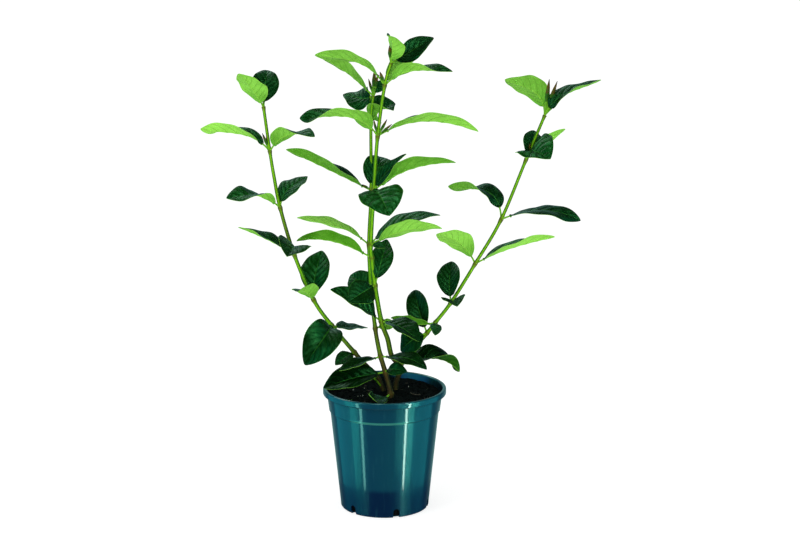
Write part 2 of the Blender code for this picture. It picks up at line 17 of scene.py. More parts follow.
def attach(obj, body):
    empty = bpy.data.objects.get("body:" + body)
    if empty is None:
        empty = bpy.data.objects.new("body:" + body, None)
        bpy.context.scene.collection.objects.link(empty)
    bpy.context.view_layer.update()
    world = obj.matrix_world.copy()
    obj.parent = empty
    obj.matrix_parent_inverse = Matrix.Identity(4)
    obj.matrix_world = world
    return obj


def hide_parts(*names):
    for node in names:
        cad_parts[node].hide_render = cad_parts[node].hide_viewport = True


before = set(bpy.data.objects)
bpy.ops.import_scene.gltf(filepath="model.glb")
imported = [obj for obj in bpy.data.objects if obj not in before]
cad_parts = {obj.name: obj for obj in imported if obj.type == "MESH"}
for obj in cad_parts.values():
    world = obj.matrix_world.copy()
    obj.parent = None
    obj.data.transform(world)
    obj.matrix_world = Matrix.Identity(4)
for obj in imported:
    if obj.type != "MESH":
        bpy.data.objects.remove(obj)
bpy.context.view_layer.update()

MM = 0.001

# %% [markdown]
# ## The camera
# A photograph is a projection through one point. Fitting a pinhole to the pot's lip, collar and base
# gives a long lens, a little above the plant and tilted 13 degrees down. A long lens keeps the pot's
# sides nearly parallel, which is why a short lens close by would look wrong.

# %% Set up the camera
CAMERA_PLACE = (0.020, -2.600, 0.911)
CAMERA_DIP = 13.0
CAMERA_LENS = 93.67
SENSOR_WIDTH = 36.0

camera_data = bpy.data.cameras.new("camera")
camera_data.lens = CAMERA_LENS
camera_data.sensor_width = SENSOR_WIDTH
camera = bpy.data.objects.new("camera", camera_data)
camera.location = CAMERA_PLACE
camera.rotation_euler = (math.radians(90.0 - CAMERA_DIP), 0.0, 0.0)
bpy.context.scene.collection.objects.link(camera)
bpy.context.scene.camera = camera
bpy.context.scene.view_settings.view_transform = "Standard"
print("camera at", CAMERA_PLACE, "with a", CAMERA_LENS, "mm lens")

# %% [markdown]
# ## The studio
# The plant was shot on plain white. One very large floor does that, because the camera looks down and
# never sees a horizon. The paper glows by itself, so the plant's soft shadow fades into white.
# Gloss needs something to mirror: the mirrored sky is dim and slightly teal behind the plant and dark in
# front, as in a studio whose camera side is black, so that glossy leaves and the pot keep deep colours
# with a few clear glints. The floor is kept out of mirror rays for the same reason.

# %% Lay the floor
FLOOR_HALF = 60.0
PAPER_WHITE = 0.45
PAPER_GLOW = 0.74


def colour(red, green, blue):
    return (red, green, blue, 1.0)


def new_material(name, **sockets):
    """A material with these plain values on its shader, and its tree and shader for further wiring."""
    material = bpy.data.materials.new(name)
    material.use_nodes = True
    tree = material.node_tree
    shader = tree.nodes["Principled BSDF"]
    for socket, value in sockets.items():
        shader.inputs[socket.replace("_", " ")].default_value = value
    return material, tree, shader


def to_mesh(name, points, faces):
    mesh = bpy.data.meshes.new(name)
    mesh.from_pydata([tuple(point) for point in points], [], [tuple(face) for face in faces])
    return mesh


def stage_floor():
    corners = [(-FLOOR_HALF, -FLOOR_HALF, 0), (FLOOR_HALF, -FLOOR_HALF, 0)]
    corners += [(FLOOR_HALF, FLOOR_HALF, 0), (-FLOOR_HALF, FLOOR_HALF, 0)]
    floor = bpy.data.objects.new("floor", to_mesh("floor", corners, [(0, 1, 2, 3)]))
    paper = new_material(
        "white_paper",
        Base_Color=colour(PAPER_WHITE, PAPER_WHITE, PAPER_WHITE),
        Roughness=0.9,
        Specular_IOR_Level=0.0,
        Emission_Color=colour(1.0, 1.0, 1.0),
        Emission_Strength=PAPER_GLOW,
    )[0]
    floor.data.materials.append(paper)
    bpy.context.scene.collection.objects.link(floor)
    floor.visible_glossy = False


stage_floor()
print("floor is", 2 * FLOOR_HALF, "m across")

# %% [markdown]
# Every material below is wired from nodes. One short helper adds a node, fills or links its inputs and
# hands back the output that is wanted. An output knows its own tree, so the call doesn't name it.

# %% Helpers for wiring nodes


def fill(inlets, values):
    """Links each input that values names to an output, or gives it a plain value."""
    for socket, value in values.items():
        if isinstance(value, bpy.types.NodeSocket):
            value.id_data.links.new(value, inlets[socket])
        else:
            inlets[socket].default_value = value


def source(tree, kind, outlet=0, **settings):
    """Adds a node with nothing linked to it and returns one of its outputs."""
    made = tree.nodes.new("ShaderNode" + kind)
    for name, value in settings.items():
        setattr(made, name, value)
    return made.outputs[outlet]


def tree_of(values):
    """The tree of the first output among the values."""
    return next(value.id_data for value in values if isinstance(value, bpy.types.NodeSocket))


def node(kind, inlets, outlet=0, **settings):
    """Adds a node behind the outputs in inlets, which maps each socket to an output or a plain value."""
    result = source(tree_of(inlets.values()), kind, outlet, **settings)
    fill(result.node.inputs, inlets)
    return result


def object_place(tree):
    """Where a point of the surface lies, in the piece's own metres."""
    return source(tree, "TexCoord", 3)


print("helpers:", [helper.__name__ for helper in (fill, source, tree_of, node, object_place)])

# %% [markdown]
# The nodes that this scene needs most get short names, so that a material reads almost like arithmetic:
# sums, mixes, soft steps, noise and relief.

# %% Short names for common nodes


def calc(operation, first, second=0.0, third=0.0):
    return node("Math", {0: first, 1: second, 2: third}, operation=operation)


def times(first, second):
    return calc("MULTIPLY", first, second)


def mixed(share, first, second):
    """A mix of two numbers."""
    return node("Mix", {0: share, 2: first, 3: second}, data_type="FLOAT")


def blend(share, first, second):
    """A mix of two colours."""
    return node("Mix", {0: share, 6: first, 7: second}, outlet=2, data_type="RGBA")


def ease(value, low, high, start=0.0, end=1.0):
    """A smooth step from start, where the value is low, to end, where it is high."""
    inlets = {"Value": value, "From Min": low, "From Max": high, "To Min": start, "To Max": end}
    return node("MapRange", inlets, interpolation_type="SMOOTHSTEP")


def axis(place, index):
    """One number of a place: 0 is across, 1 is towards the back and 2 is up."""
    return node("SeparateXYZ", {0: place}, outlet=index)


def stretched(place, scales):
    """The same place with each axis multiplied, which stretches a pattern."""
    return node("VectorMath", {0: place, 1: scales}, operation="MULTIPLY")


def speckle(place, scale, detail=2.0, roughness=0.5):
    inlets = {"Vector": place, "Scale": scale, "Detail": detail, "Roughness": roughness}
    return node("TexNoise", inlets)


def emboss(shader, relief, strength, distance):
    """Lets a relief tilt the surface, as if it stood out by distance."""
    bump = node("Bump", {"Height": relief, "Strength": strength, "Distance": distance})
    fill(shader.inputs, {"Normal": bump})


print("helpers:", [helper.__name__ for helper in (calc, times, mixed, blend, ease, speckle, emboss)])

# %% [markdown]
# The sky lights matt surfaces evenly and white. Mirror rays see another one, tinted teal: dim behind the
# plant, dark in front and above, and paler straight below, where the glossy undersides would look.

# %% Hang the sky
WHITE = colour(1.0, 1.0, 1.0)
SKY_LIGHT = 0.72
MIRRORED_BACK = 0.45
MIRRORED_FRONT = 0.01
MIRRORED_TOP = 0.06
MIRRORED_FLOOR = 0.60
MIRRORED_TINT = colour(0.50, 1.0, 0.95)


def hang_sky():
    world = bpy.data.worlds.new("studio_sky")
    bpy.context.scene.world = world
    world.cycles.sampling_method = "NONE"
    world.use_nodes = True
    tree = world.node_tree
    way = source(tree, "TexCoord")
    up = axis(way, 2)
    level = ease(axis(way, 1), 0.55, 1.0, MIRRORED_FRONT, MIRRORED_BACK)
    level = mixed(ease(up, 0.45, 0.95), level, MIRRORED_TOP)
    level = calc("MAXIMUM", level, ease(up, -0.70, -0.95, 0.0, MIRRORED_FLOOR))
    is_mirror = source(tree, "LightPath", 3)
    tint = blend(is_mirror, WHITE, MIRRORED_TINT)
    strength = mixed(is_mirror, SKY_LIGHT, level)
    fill(tree.nodes["Background"].inputs, {"Color": tint, "Strength": strength})


hang_sky()
print("sky:", bpy.context.scene.world.name)

# %% [markdown]
# A round pot is a mirror bent one way: a wall that faces 20 degrees to the right shows what stands at
# 40. So each upright streak on the pot is a tall narrow lamp, each soft green band beside it a wider
# and weaker one, and the teal sides are two very wide ones. The lamps reach below the floor's level,
# because the wall leans. Lamps made for gloss alone leave matt surfaces unlit, and one large lamp at
# the upper left models the leaves.

# %% Hang the lamps
PLANT_MIDDLE = (0, 0, 0.4)
BANKS = (
    ("top_bank", (-0.3, -0.5, 2.3), (0.35, 0.9), 7.0, (0.72, 1.00, 0.84)),
    ("front_bank", (0.9, -1.5, 1.9), (0.5, 0.5), 5.0, (0.72, 1.00, 0.84)),
    ("sheen", (-0.9, 1.6, 2.0), (1.6, 0.7), 14.0, (0.75, 1.00, 0.90)),
)

# Distance and height of the tall lamps, then the name, turn, width, watts and tint of each.
STRIP_LENGTH = 2.4
STREAKS = (1.1, 0.645), (
    ("left_strip", -50, 0.11, 7.5, (0.34, 1.00, 0.84)),
    ("right_strip", 46.5, 0.085, 18.0, (0.66, 1.00, 0.86)),
)
BANDS = (1.5, 0.44), (
    ("right_halo", 58, 0.36, 9.0, (0.14, 1.00, 0.76)),
    ("middle_halo", 31, 0.36, 3.2, (0.12, 1.00, 0.74)),
    ("left_halo", -67, 0.50, 6.5, (0.08, 1.00, 0.80)),
    ("left_glow", -90, 2.1, 13.0, (0.05, 0.90, 1.00)),
    ("right_glow", 85, 1.7, 11.0, (0.05, 0.90, 1.00)),
)


def hang_lamp(name, place, aim, size, watts, tint=(1.0, 1.0, 1.0), mirrored=True):
    """A flat lamp that shows in gloss and leaves matt surfaces unlit, or else the other way round."""
    lamp = bpy.data.lights.new(name, "AREA")
    lamp.shape = "RECTANGLE"
    lamp.size, lamp.size_y = size
    lamp.energy = watts
    lamp.color = tint
    holder = bpy.data.objects.new(name, lamp)
    holder.location = place
    direction = Vector(aim) - Vector(place)
    holder.rotation_euler = direction.to_track_quat("-Z", "Y").to_euler()
    holder.visible_camera = False
    holder.visible_glossy = mirrored
    holder.visible_diffuse = not mirrored
    bpy.context.scene.collection.objects.link(holder)


def round_the_pot(turn, distance, height):
    """A place at this turn from the camera's side, positive to the right."""
    angle = math.radians(turn)
    return (distance * math.sin(angle), -distance * math.cos(angle), height)


hang_lamp("key", (-1.6, -1.4, 2.0), (0, 0, 0.35), (1.2, 1.2), 18.0, mirrored=False)
for bank, place, size, watts, tint in BANKS:
    hang_lamp(bank, place, PLANT_MIDDLE, size, watts, tint)
for (away, height), strips in (STREAKS, BANDS):
    for strip, turn, width, watts, tint in strips:
        place = round_the_pot(turn, away, height)
        hang_lamp(strip, place, (0, 0, height), (width, STRIP_LENGTH), watts, tint)
print("lamps:", [lamp.name for lamp in bpy.data.lights])

# %% [markdown]
# ## Effects that several materials share
# Plastic, bark, leaf and compost all vary a little in tone, which one group of soft noise gives them at
# their own sizes. The veins are a second group, because the glossy top and the matt underside of a leaf
# show the same veins: paler and sunken above, darker and raised below.

# %% Group: uneven tone


def new_group(name, inlets, outlets):
    """An empty group of nodes, with what comes in and what goes out."""
    group = bpy.data.node_groups.new(name, "ShaderNodeTree")
    for inlet, kind, value in inlets:
        socket = group.interface.new_socket(inlet, in_out="INPUT", socket_type="NodeSocket" + kind)
        if value is not None:
            socket.default_value = value
    for outlet in outlets:
        group.interface.new_socket(outlet, in_out="OUTPUT", socket_type="NodeSocketFloat")
    start = group.nodes.new("NodeGroupInput")
    end = group.nodes.new("NodeGroupOutput")
    return group, start.outputs, end.inputs


def use_group(group, **values):
    made = tree_of(values.values()).nodes.new("ShaderNodeGroup")
    made.node_tree = group
    fill(made.inputs, values)
    return made.outputs


def group_uneven_tone():
    inlets = [("Place", "Vector", None), ("Size", "Float", 0.01), ("Contrast", "Float", 1.0)]
    tree, start, end = new_group("uneven_tone", inlets, ["Tone", "Fine"])
    often = calc("DIVIDE", 1.0, start["Size"])
    broad = speckle(start["Place"], often, 3.0, 0.55)
    finer = speckle(start["Place"], times(often, 7.0))
    for source, outlet in ((broad, "Tone"), (finer, "Fine")):
        centred = calc("SUBTRACT", source, 0.5)
        spread = calc("MULTIPLY_ADD", centred, start["Contrast"], 0.5)
        fill(end, {outlet: node("Clamp", {0: spread})})
    return tree


uneven_tone = group_uneven_tone()


def uneven(place, size, contrast, scales=None):
    """The uneven tone on a place, with its patches stretched where scales are given."""
    if scales:
        place = stretched(place, scales)
    return use_group(uneven_tone, Place=place, Size=size, Contrast=contrast)


print("group:", uneven_tone.name)

# %% [markdown]
# The veins of this shrub leave the midrib in five to seven pairs and sweep towards the tip. Two numbers
# on the mesh, the share along a blade and the share across it, are all that the pattern needs: a line of
# veins lies where along minus a bent share of across, times the number of pairs, is a whole number.

# %% Group: leaf veins
VEIN_PAIRS = 6.6
VEIN_SWEEP = 0.30
VEIN_BEND = 1.25
VEIN_OFFSET = 0.14
NET_CELLS = (5.0, 26.0)


def group_leaf_veins():
    inlets = [("Along", "Float", 0.0), ("Across", "Float", 0.0), ("Width", "Float", 0.06)]
    tree, start, end = new_group("leaf_veins", inlets, ["Veins", "Midrib", "Domes", "Net", "Margin"])
    along, across = start["Along"], start["Across"]
    off = calc("ABSOLUTE", across)
    right = calc("GREATER_THAN", across, 0.0)
    swept = times(calc("POWER", off, VEIN_BEND), VEIN_SWEEP)
    phase = times(calc("SUBTRACT", along, swept), VEIN_PAIRS)
    away = calc("PINGPONG", calc("MULTIPLY_ADD", right, VEIN_OFFSET, phase), 0.5)
    line = ease(away, 0.0, start["Width"], 1.0, 0.0)
    dome = calc("SINE", times(away, math.pi))
    fade = times(ease(off, 0.72, 0.97, 1.0, 0.0), ease(along, 0.0, 0.05))
    thick = ease(along, 0.0, 0.9, 0.085, 0.035)
    cell = {0: times(across, NET_CELLS[0]), 1: times(along, NET_CELLS[1])}
    net = {"Vector": node("CombineXYZ", cell), "Scale": 1.6}
    marks = {
        "Veins": times(line, fade),
        "Midrib": ease(off, times(thick, 0.35), thick, 1.0, 0.0),
        "Domes": times(dome, fade),
        "Net": ease(node("TexVoronoi", net, feature="DISTANCE_TO_EDGE"), 0.0, 0.14, 1.0, 0.0),
        "Margin": ease(off, 0.955, 0.985),
    }
    fill(end, marks)
    return tree


leaf_veins = group_leaf_veins()
print("group:", leaf_veins.name, "with", VEIN_PAIRS, "pairs of veins")

# %% [markdown]
# ## The pot
# It is a thin injection-moulded pot: a tapered body, a stiffening collar and a rounded lip, with six
# arched drain slots in its lower edge. A lathe shape is the natural way: one outline, turned round the
# axis. The solid has the same outline with few points. Here each corner gets a true arc, and the slots
# are cut with a Boolean, so their edges are crisp.

# %% Outline of the pot
RIM_RADIUS = 0.080
POT_HEIGHT = 0.160
BASE_RADIUS = 0.0575
WALL = 0.0015
FLOOR_THICKNESS = 0.0020
LIP_HEIGHT = 0.008
LIP_OVERHANG = 0.0052
LIP_THICKNESS = 0.0050
LIP_ROUND = 0.0022
LIP_CORNER = 0.0012
COLLAR_HEIGHT = 0.021
COLLAR_TAPER = 0.0026
COLLAR_STEP = 0.0014
CORNER = 0.0025
POT_SIDES = 192
LIP_FOOT = POT_HEIGHT - LIP_HEIGHT
STEP = LIP_FOOT - COLLAR_HEIGHT
COLLAR_FOOT = RIM_RADIUS - LIP_OVERHANG - COLLAR_TAPER


def body_radius(height):
    """Outer radius of the plain tapered body."""
    return BASE_RADIUS + (COLLAR_FOOT - COLLAR_STEP - BASE_RADIUS) * height / STEP


def arc(centre, size, start, end, steps=6):
    """Outline points of an arc. 0 degrees is outwards and 90 is up."""
    turns = np.radians(np.linspace(start, end, steps + 1))
    return [(centre[0] + size * math.cos(turn), centre[1] + size * math.sin(turn)) for turn in turns]


def straight(start, end, steps):
    """Points from start up to, but without, end."""
    shares = np.linspace(0.0, 1.0, steps, endpoint=False)
    return [tuple(np.array(start) * (1 - share) + np.array(end) * share) for share in shares]


def pot_outline():
    collar_top = (RIM_RADIUS - LIP_OVERHANG, LIP_FOOT - LIP_CORNER / 2)
    shoulder = STEP - COLLAR_STEP
    outline = [(0.0, 0.0), (0.02, 0.0), (0.04, 0.0)]
    outline += arc((BASE_RADIUS - CORNER, CORNER), CORNER, -90, 0)
    outline += straight((BASE_RADIUS, CORNER + 0.001), (body_radius(shoulder), shoulder), 24)[1:]
    outline += [(body_radius(shoulder - 0.0004), shoulder - 0.0004), (body_radius(shoulder), shoulder)]
    outline += arc((COLLAR_FOOT - 0.0008, STEP), 0.0008, -60, 0, 4)
    outline += straight((COLLAR_FOOT, STEP + 0.0006), collar_top, 6)
    outline += [collar_top, (RIM_RADIUS - LIP_CORNER, LIP_FOOT)]
    outline += arc((RIM_RADIUS - LIP_CORNER, LIP_FOOT + LIP_CORNER), LIP_CORNER, -60, 0, 4)
    lip_top = POT_HEIGHT - LIP_ROUND
    outline += arc((RIM_RADIUS - LIP_ROUND, lip_top), LIP_ROUND, 0, 90)
    outline += arc((RIM_RADIUS - LIP_THICKNESS + LIP_ROUND, lip_top), LIP_ROUND, 90, 180)
    outline += [(RIM_RADIUS - LIP_OVERHANG - WALL, LIP_FOOT), (COLLAR_FOOT - WALL, STEP)]
    inner_shoulder = (body_radius(shoulder) - WALL, shoulder)
    inner_foot = (BASE_RADIUS - WALL, FLOOR_THICKNESS + CORNER)
    outline += [inner_shoulder] + straight(inner_shoulder, inner_foot, 12)[1:] + [inner_foot]
    outline += [(BASE_RADIUS - 0.5 * CORNER - WALL, FLOOR_THICKNESS), (0.0, FLOOR_THICKNESS)]
    return outline


print("pot outline has", len(pot_outline()), "points, up to radius", max(r for r, z in pot_outline()))

# %% [markdown]
# Lathe shapes and bars are both made of rings of points with faces from each ring to the next, so one
# function serves both. Every drawn piece then goes through the same few lines: its mesh is linked and
# painted, it rides with the plant, and the solids it stands for are hidden.

# %% From an outline to a piece


def between_rings(count, sides, start=0):
    """Faces from each ring of points to the next."""
    side = np.arange(sides)
    after = (side + 1) % sides
    faces = []
    for low in range(start, start + (count - 1) * sides, sides):
        high = low + sides
        faces += np.stack([low + side, low + after, high + after, high + side], 1).tolist()
    return faces


def turned(outline, sides):
    """Points and faces of a lathe shape whose outline starts and ends on the axis."""
    angles = np.arange(sides) * math.tau / sides
    points = [(0.0, 0.0, outline[0][1]), (0.0, 0.0, outline[-1][1])]
    for radius, height in outline[1:-1]:
        points += [(radius * math.cos(angle), radius * math.sin(angle), height) for angle in angles]
    faces = between_rings(len(outline) - 2, sides, 2)
    last = len(points) - sides
    for side in range(sides):
        after = (side + 1) % sides
        faces += [(0, 2 + after, 2 + side), (1, last + side, last + after)]
    return points, faces


def capped(count, sides):
    """Faces of a closed bar of this many rings: the sides and a cap on both ends."""
    last = (count - 1) * sides
    return between_rings(count, sides) + [range(sides)[::-1], range(last, last + sides)]


def new_piece(name, mesh, finishes, slot, *nodes):
    """Links a piece, paints it, lets it ride with the plant and hides the solids it stands for."""
    piece = bpy.data.objects.new(name, mesh)
    bpy.context.scene.collection.objects.link(piece)
    for finish in finishes:
        mesh.materials.append(finish)
    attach(piece, "root")
    if nodes:
        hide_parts(*nodes)
    return piece


def smooth(piece, angle):
    """Smooth shading, except over edges that are sharper than this."""
    piece.data.shade_smooth()
    piece.data.set_sharp_from_angle(angle=math.radians(angle))


print("a lathe shape of the pot has", len(turned(pot_outline(), POT_SIDES)[1]), "faces")

# %% [markdown]
# The plastic is a glossy teal that looks greener in the light and bluer in the shade, and low down it is
# painted deeper blue. The moulded skin has faint upright flow lines and fine scuffs, and a painted
# highlight, a thin pale line, runs along the collar's lower edge in front. A clear coat gives the sharp
# glints, and the plastic under it a broad soft one, which is how polished moulded plastic reads. The
# inner wall is painted navy as its shade, with a painted patch of blue light at the back right. Near
# the base the streaks stop and the front turns deep blue along one level: painted shade and a painted
# reflection of a dark floor, as where a mirrored floor begins.

# %% Finish of the pot
TEAL = colour(0.0010, 0.034, 0.078)
TEAL_GREEN = colour(0.0020, 0.052, 0.086)
# Painted reflection and shade: the deep blue low on the pot.
PAINTED_REFLECTION_AND_SHADE = colour(0.0003, 0.0095, 0.049)
# Painted shade and painted light on the inner wall: navy, and a lit blue patch.
PAINTED_SHADE_NAVY = colour(0.0008, 0.005, 0.016)
PAINTED_LIGHT_BLUE = colour(0.0070, 0.062, 0.210)
# Painted highlight: the pale line on the collar's lower edge.
PAINTED_HIGHLIGHT_TEAL = colour(0.030, 0.200, 0.165)
FLOW_TEAL = colour(0.020, 0.130, 0.150)
HORIZON = (0.041, 0.033)
FRONT_SHIFT = 0.004
COAT = 0.60


def finish_teal_plastic():
    material, tree, shader = new_material(
        "teal_plastic",
        Specular_IOR_Level=0.36,
        Specular_Tint=colour(0.25, 1.0, 0.85),
        Coat_Roughness=0.07,
    )
    place = object_place(tree)
    across, behind, height = [axis(place, index) for index in range(3)]
    broad = uneven(place, 0.035, 1.6, (1.0, 1.0, 0.12))
    lines = speckle(stretched(place, (1.0, 1.0, 0.02)), 260.0)
    body = blend(broad["Tone"], TEAL, TEAL_GREEN)

    # Painted shade and a painted reflection of a dark floor: deep blue comes softly all round and sharply
    # in front.
    horizon = ease(height, *HORIZON)
    aside = calc("ABSOLUTE", calc("ADD", across, FRONT_SHIFT))
    front = times(ease(aside, 0.026, 0.014), ease(behind, 0.0, -0.02))
    body = blend(mixed(front, ease(height, 0.060, 0.016), horizon), body, PAINTED_REFLECTION_AND_SHADE)

    # The inner wall is where the surface faces the axis, above the compost. It is painted navy as its
    # shade, with a painted patch of light at the back right.
    facing = source(tree, "NewGeometry", 1)
    outward = node("VectorMath", {0: place, 1: facing}, outlet=1, operation="DOT_PRODUCT")
    inner = times(ease(outward, 0.004, -0.004), ease(height, 0.100, 0.110))
    lit = times(ease(across, 0.006, 0.022), ease(behind, 0.040, 0.055))
    body = blend(inner, body, blend(lit, PAINTED_SHADE_NAVY, PAINTED_LIGHT_BLUE))

    # A painted highlight: a thin pale line along the collar's lower edge, fading away from the front.
    ledge = calc("ABSOLUTE", calc("SUBTRACT", height, STEP - 0.0004))
    painted_highlight = times(ease(ledge, 0.0024, 0.0010), ease(aside, 0.044, 0.024))
    body = blend(painted_highlight, body, PAINTED_HIGHLIGHT_TEAL)
    body = blend(ease(lines, 0.56, 0.72, 0.0, 0.12), body, FLOW_TEAL)
    coat = calc("MULTIPLY_ADD", inner, -0.58, calc("MULTIPLY_ADD", horizon, -0.54, COAT))
    scuffs = speckle(place, 900.0)
    rough = calc("MULTIPLY_ADD", scuffs, 0.08, 0.27)
    fill(shader.inputs, {"Base Color": body, "Coat Weight": coat, "Roughness": rough})
    relief = calc("ADD", times(lines, 0.6), times(scuffs, 0.12))
    emboss(shader, relief, 0.12, 0.0004)
    return material


teal_plastic = finish_teal_plastic()
print("finish:", teal_plastic.name)

# %% [markdown]
# The drain slots come last, because a Boolean cuts through whatever wall is there. Each cutter is a bar
# with an arched top that points outwards, and one is made, used and thrown away for each slot.

# %% Turn the pot and cut its drain slots
SLOT_COUNT = 6
SLOT_WIDTH = 0.0084
SLOT_HEIGHT = 0.0122
SLOT_DEPTH = 0.0060
SLOT_OVERRUN = 0.0040
ARCH_STEPS = 14
FIRST_SLOT_TURN = 15.5


def slot_cutter(turn):
    """A radial bar with an arched top, from below the floor up through the wall."""
    half = SLOT_WIDTH / 2
    shape = [(-half, -SLOT_OVERRUN), (half, -SLOT_OVERRUN)]
    shape += [(x, z) for x, z in arc((0.0, SLOT_HEIGHT - half), half, 0, 180, ARCH_STEPS)]
    angle = math.radians(turn)
    forward = Vector((math.sin(angle), -math.cos(angle), 0.0))
    sideways = Vector((math.cos(angle), math.sin(angle), 0.0))
    points = []
    for distance in (BASE_RADIUS - SLOT_DEPTH, BASE_RADIUS + SLOT_DEPTH):
        points += [forward * distance + sideways * x + Vector((0.0, 0.0, z)) for x, z in shape]
    return points, capped(2, len(shape))


def cut_slots(pot):
    for index in range(SLOT_COUNT):
        cutter_mesh = to_mesh("slot", *slot_cutter(FIRST_SLOT_TURN + 360.0 * index / SLOT_COUNT))
        cutter = bpy.data.objects.new("slot", cutter_mesh)
        bpy.context.scene.collection.objects.link(cutter)
        cut = pot.modifiers.new("slot", "BOOLEAN")
        cut.operation = "DIFFERENCE"
        cut.solver = "EXACT"
        cut.object = cutter
        bpy.context.view_layer.update()
        graph = bpy.context.evaluated_depsgraph_get()
        result = bpy.data.meshes.new_from_object(pot.evaluated_get(graph))
        pot.modifiers.clear()
        pot.data = result
        bpy.data.objects.remove(cutter)


def make_pot():
    mesh = to_mesh("pot_moulding", *turned(pot_outline(), POT_SIDES))
    pot = new_piece("pot_moulding", mesh, [teal_plastic], "teal_plastic", "pot")
    cut_slots(pot)
    smooth(pot, 30)
    return pot


pot = make_pot()
print("pot has", len(pot.data.polygons), "faces and", SLOT_COUNT, "drain slots")

# %% [markdown]
# ## The compost
# Potting compost is nearly black and crumbly, with a few white grains of perlite, bits of root and
# green scraps. Its surface is a polar grid, lifted by the same swells as the solid plus finer noise,
# and closed below so that it also shows dark through the drain slots. Crumbs are separate small lumps,
# partly sunk, because a flat surface with bump alone looks like sandpaper from the side.

# %% Relief of the compost
GAP = 0.0003
SOIL_LEVEL = POT_HEIGHT - 0.010
SOIL_RELIEF = 0.0011
SOIL_SWELL = 0.032
SOIL_LUMP = 0.013
SOIL_HEAP = 0.040
SOIL_RISE = 0.0030
SOIL_GRAIN = 0.0009
GRAIN_SCALE = 210.0
SOIL_SIDES = 180
SOIL_RINGS = 56
MOUND_HEIGHT = 0.0010
MOUND_REACH = 0.008
STEM_FEET = ((-1.0, 10.0), (7.0, -19.0), (14.0, 14.0))


def soil_height(x, y):
    """The solid's own relief."""
    swell = math.sin(math.tau * x / SOIL_SWELL + 1.3) * math.cos(math.tau * y / SOIL_SWELL + 0.4)
    lumps = math.sin(math.tau * (x - 0.6 * y) / SOIL_LUMP) * math.cos(math.tau * (y + 0.5 * x) / SOIL_LUMP)
    heap = math.exp(-(x * x + y * y) / SOIL_HEAP**2)
    rise = SOIL_RISE * max(y, 0.0) / (RIM_RADIUS - LIP_OVERHANG)
    return SOIL_LEVEL + SOIL_RELIEF * (0.6 * swell + 0.4 * lumps + heap - 0.5) + rise


def crumbly_height(x, y):
    """The relief with finer lumps and a little mound at each stem."""
    grain = noise.fractal(Vector((x, y, 0.3)) * GRAIN_SCALE, 0.8, 2.1, 4)
    height = soil_height(x, y) + SOIL_GRAIN * grain
    for foot_x, foot_y in STEM_FEET:
        away = math.hypot(x - foot_x * MM, y - foot_y * MM)
        height += MOUND_HEIGHT * math.exp(-((away / MOUND_REACH) ** 2))
    return height


def soil_edge():
    """Radius of the compost at its top."""
    share = (SOIL_LEVEL - STEP) / (LIP_FOOT - STEP)
    low = COLLAR_FOOT - WALL - GAP
    return low + (RIM_RADIUS - LIP_OVERHANG - WALL - GAP - low) * share


def soil_mesh():
    inset = WALL + GAP
    shoulder = STEP - COLLAR_STEP
    floor_z = FLOOR_THICKNESS + GAP
    side = [
        (0.0, floor_z),
        (BASE_RADIUS - 0.5 * CORNER - inset, floor_z),
        (BASE_RADIUS - inset, floor_z + CORNER),
        (body_radius(shoulder) - inset, shoulder),
        (COLLAR_FOOT - inset, STEP),
    ]
    rings = [soil_edge() * (index / SOIL_RINGS) ** 0.85 for index in range(SOIL_RINGS, 0, -1)]
    outline = side + [(radius, SOIL_LEVEL) for radius in rings] + [(0.0, SOIL_LEVEL)]
    points, faces = turned(outline, SOIL_SIDES)
    lifted = [(x, y, crumbly_height(x, y) if z > SOIL_LEVEL - GAP else z) for x, y, z in points]
    return to_mesh("compost", lifted, faces)


print("compost edge", round(soil_edge() / MM, 1), "mm from the axis")

# %% [markdown]
# Three of the four finishes here are one recipe with its own numbers: two colours mixed by the shared
# noise, and a fine relief from the same noise. The compost itself adds pale fibres. It hardly shines,
# because crumbs scatter what light they get.

# %% Finishes of the compost and of what lies on it


def finish_compost():
    material, tree, shader = new_material("dark_compost", Roughness=0.95, Specular_IOR_Level=0.06)
    place = object_place(tree)
    tone = uneven(place, 0.004, 2.2)
    fibre = speckle(stretched(place, (1.0, 0.25, 1.0)), 900.0, 3.0)
    soil = blend(tone["Tone"], colour(0.0007, 0.0008, 0.0014), colour(0.0036, 0.0031, 0.0038))
    soil = blend(ease(fibre, 0.62, 0.74), soil, colour(0.014, 0.010, 0.007))
    fill(shader.inputs, {"Base Color": soil})
    emboss(shader, calc("ADD", tone["Fine"], times(fibre, 0.5)), 0.9, 0.0006)
    return material


def finish_mottled(name, size, contrast, dark, light, strength, **sockets):
    """A matt finish that is uneven between two colours, with a fine relief unless its strength is 0."""
    material, tree, shader = new_material(name, **sockets)
    tone = uneven(object_place(tree), size, contrast)
    fill(shader.inputs, {"Base Color": blend(tone["Tone"], dark, light)})
    if strength:
        emboss(shader, tone["Fine"], strength, 0.0002)
    return material


dark_compost = finish_compost()
perlite = finish_mottled(
    "perlite", 0.0007, 1.5, colour(0.42, 0.42, 0.40), colour(0.85, 0.85, 0.82), 0.6, Roughness=0.8
)
dry_root = finish_mottled(
    "dry_root", 0.003, 1.5, colour(0.045, 0.032, 0.020), colour(0.17, 0.15, 0.11), 0.5,
    Roughness=0.8, Specular_IOR_Level=0.2,
)
green_scrap = finish_mottled(
    "green_scrap", 0.002, 2.0, colour(0.010, 0.040, 0.006), colour(0.080, 0.300, 0.015), 0,
    Roughness=0.6, Specular_IOR_Level=0.2,
)
print("finishes:", [finish.name for finish in (dark_compost, perlite, dry_root, green_scrap)])

# %% [markdown]
# The crumbs are low icospheres, each pulled out of shape. Their sizes come from the cube of a random
# number, so small ones are many and large ones few, as in sifted compost. All of them are one mesh,
# because hundreds of objects would make the scene slow for no gain.

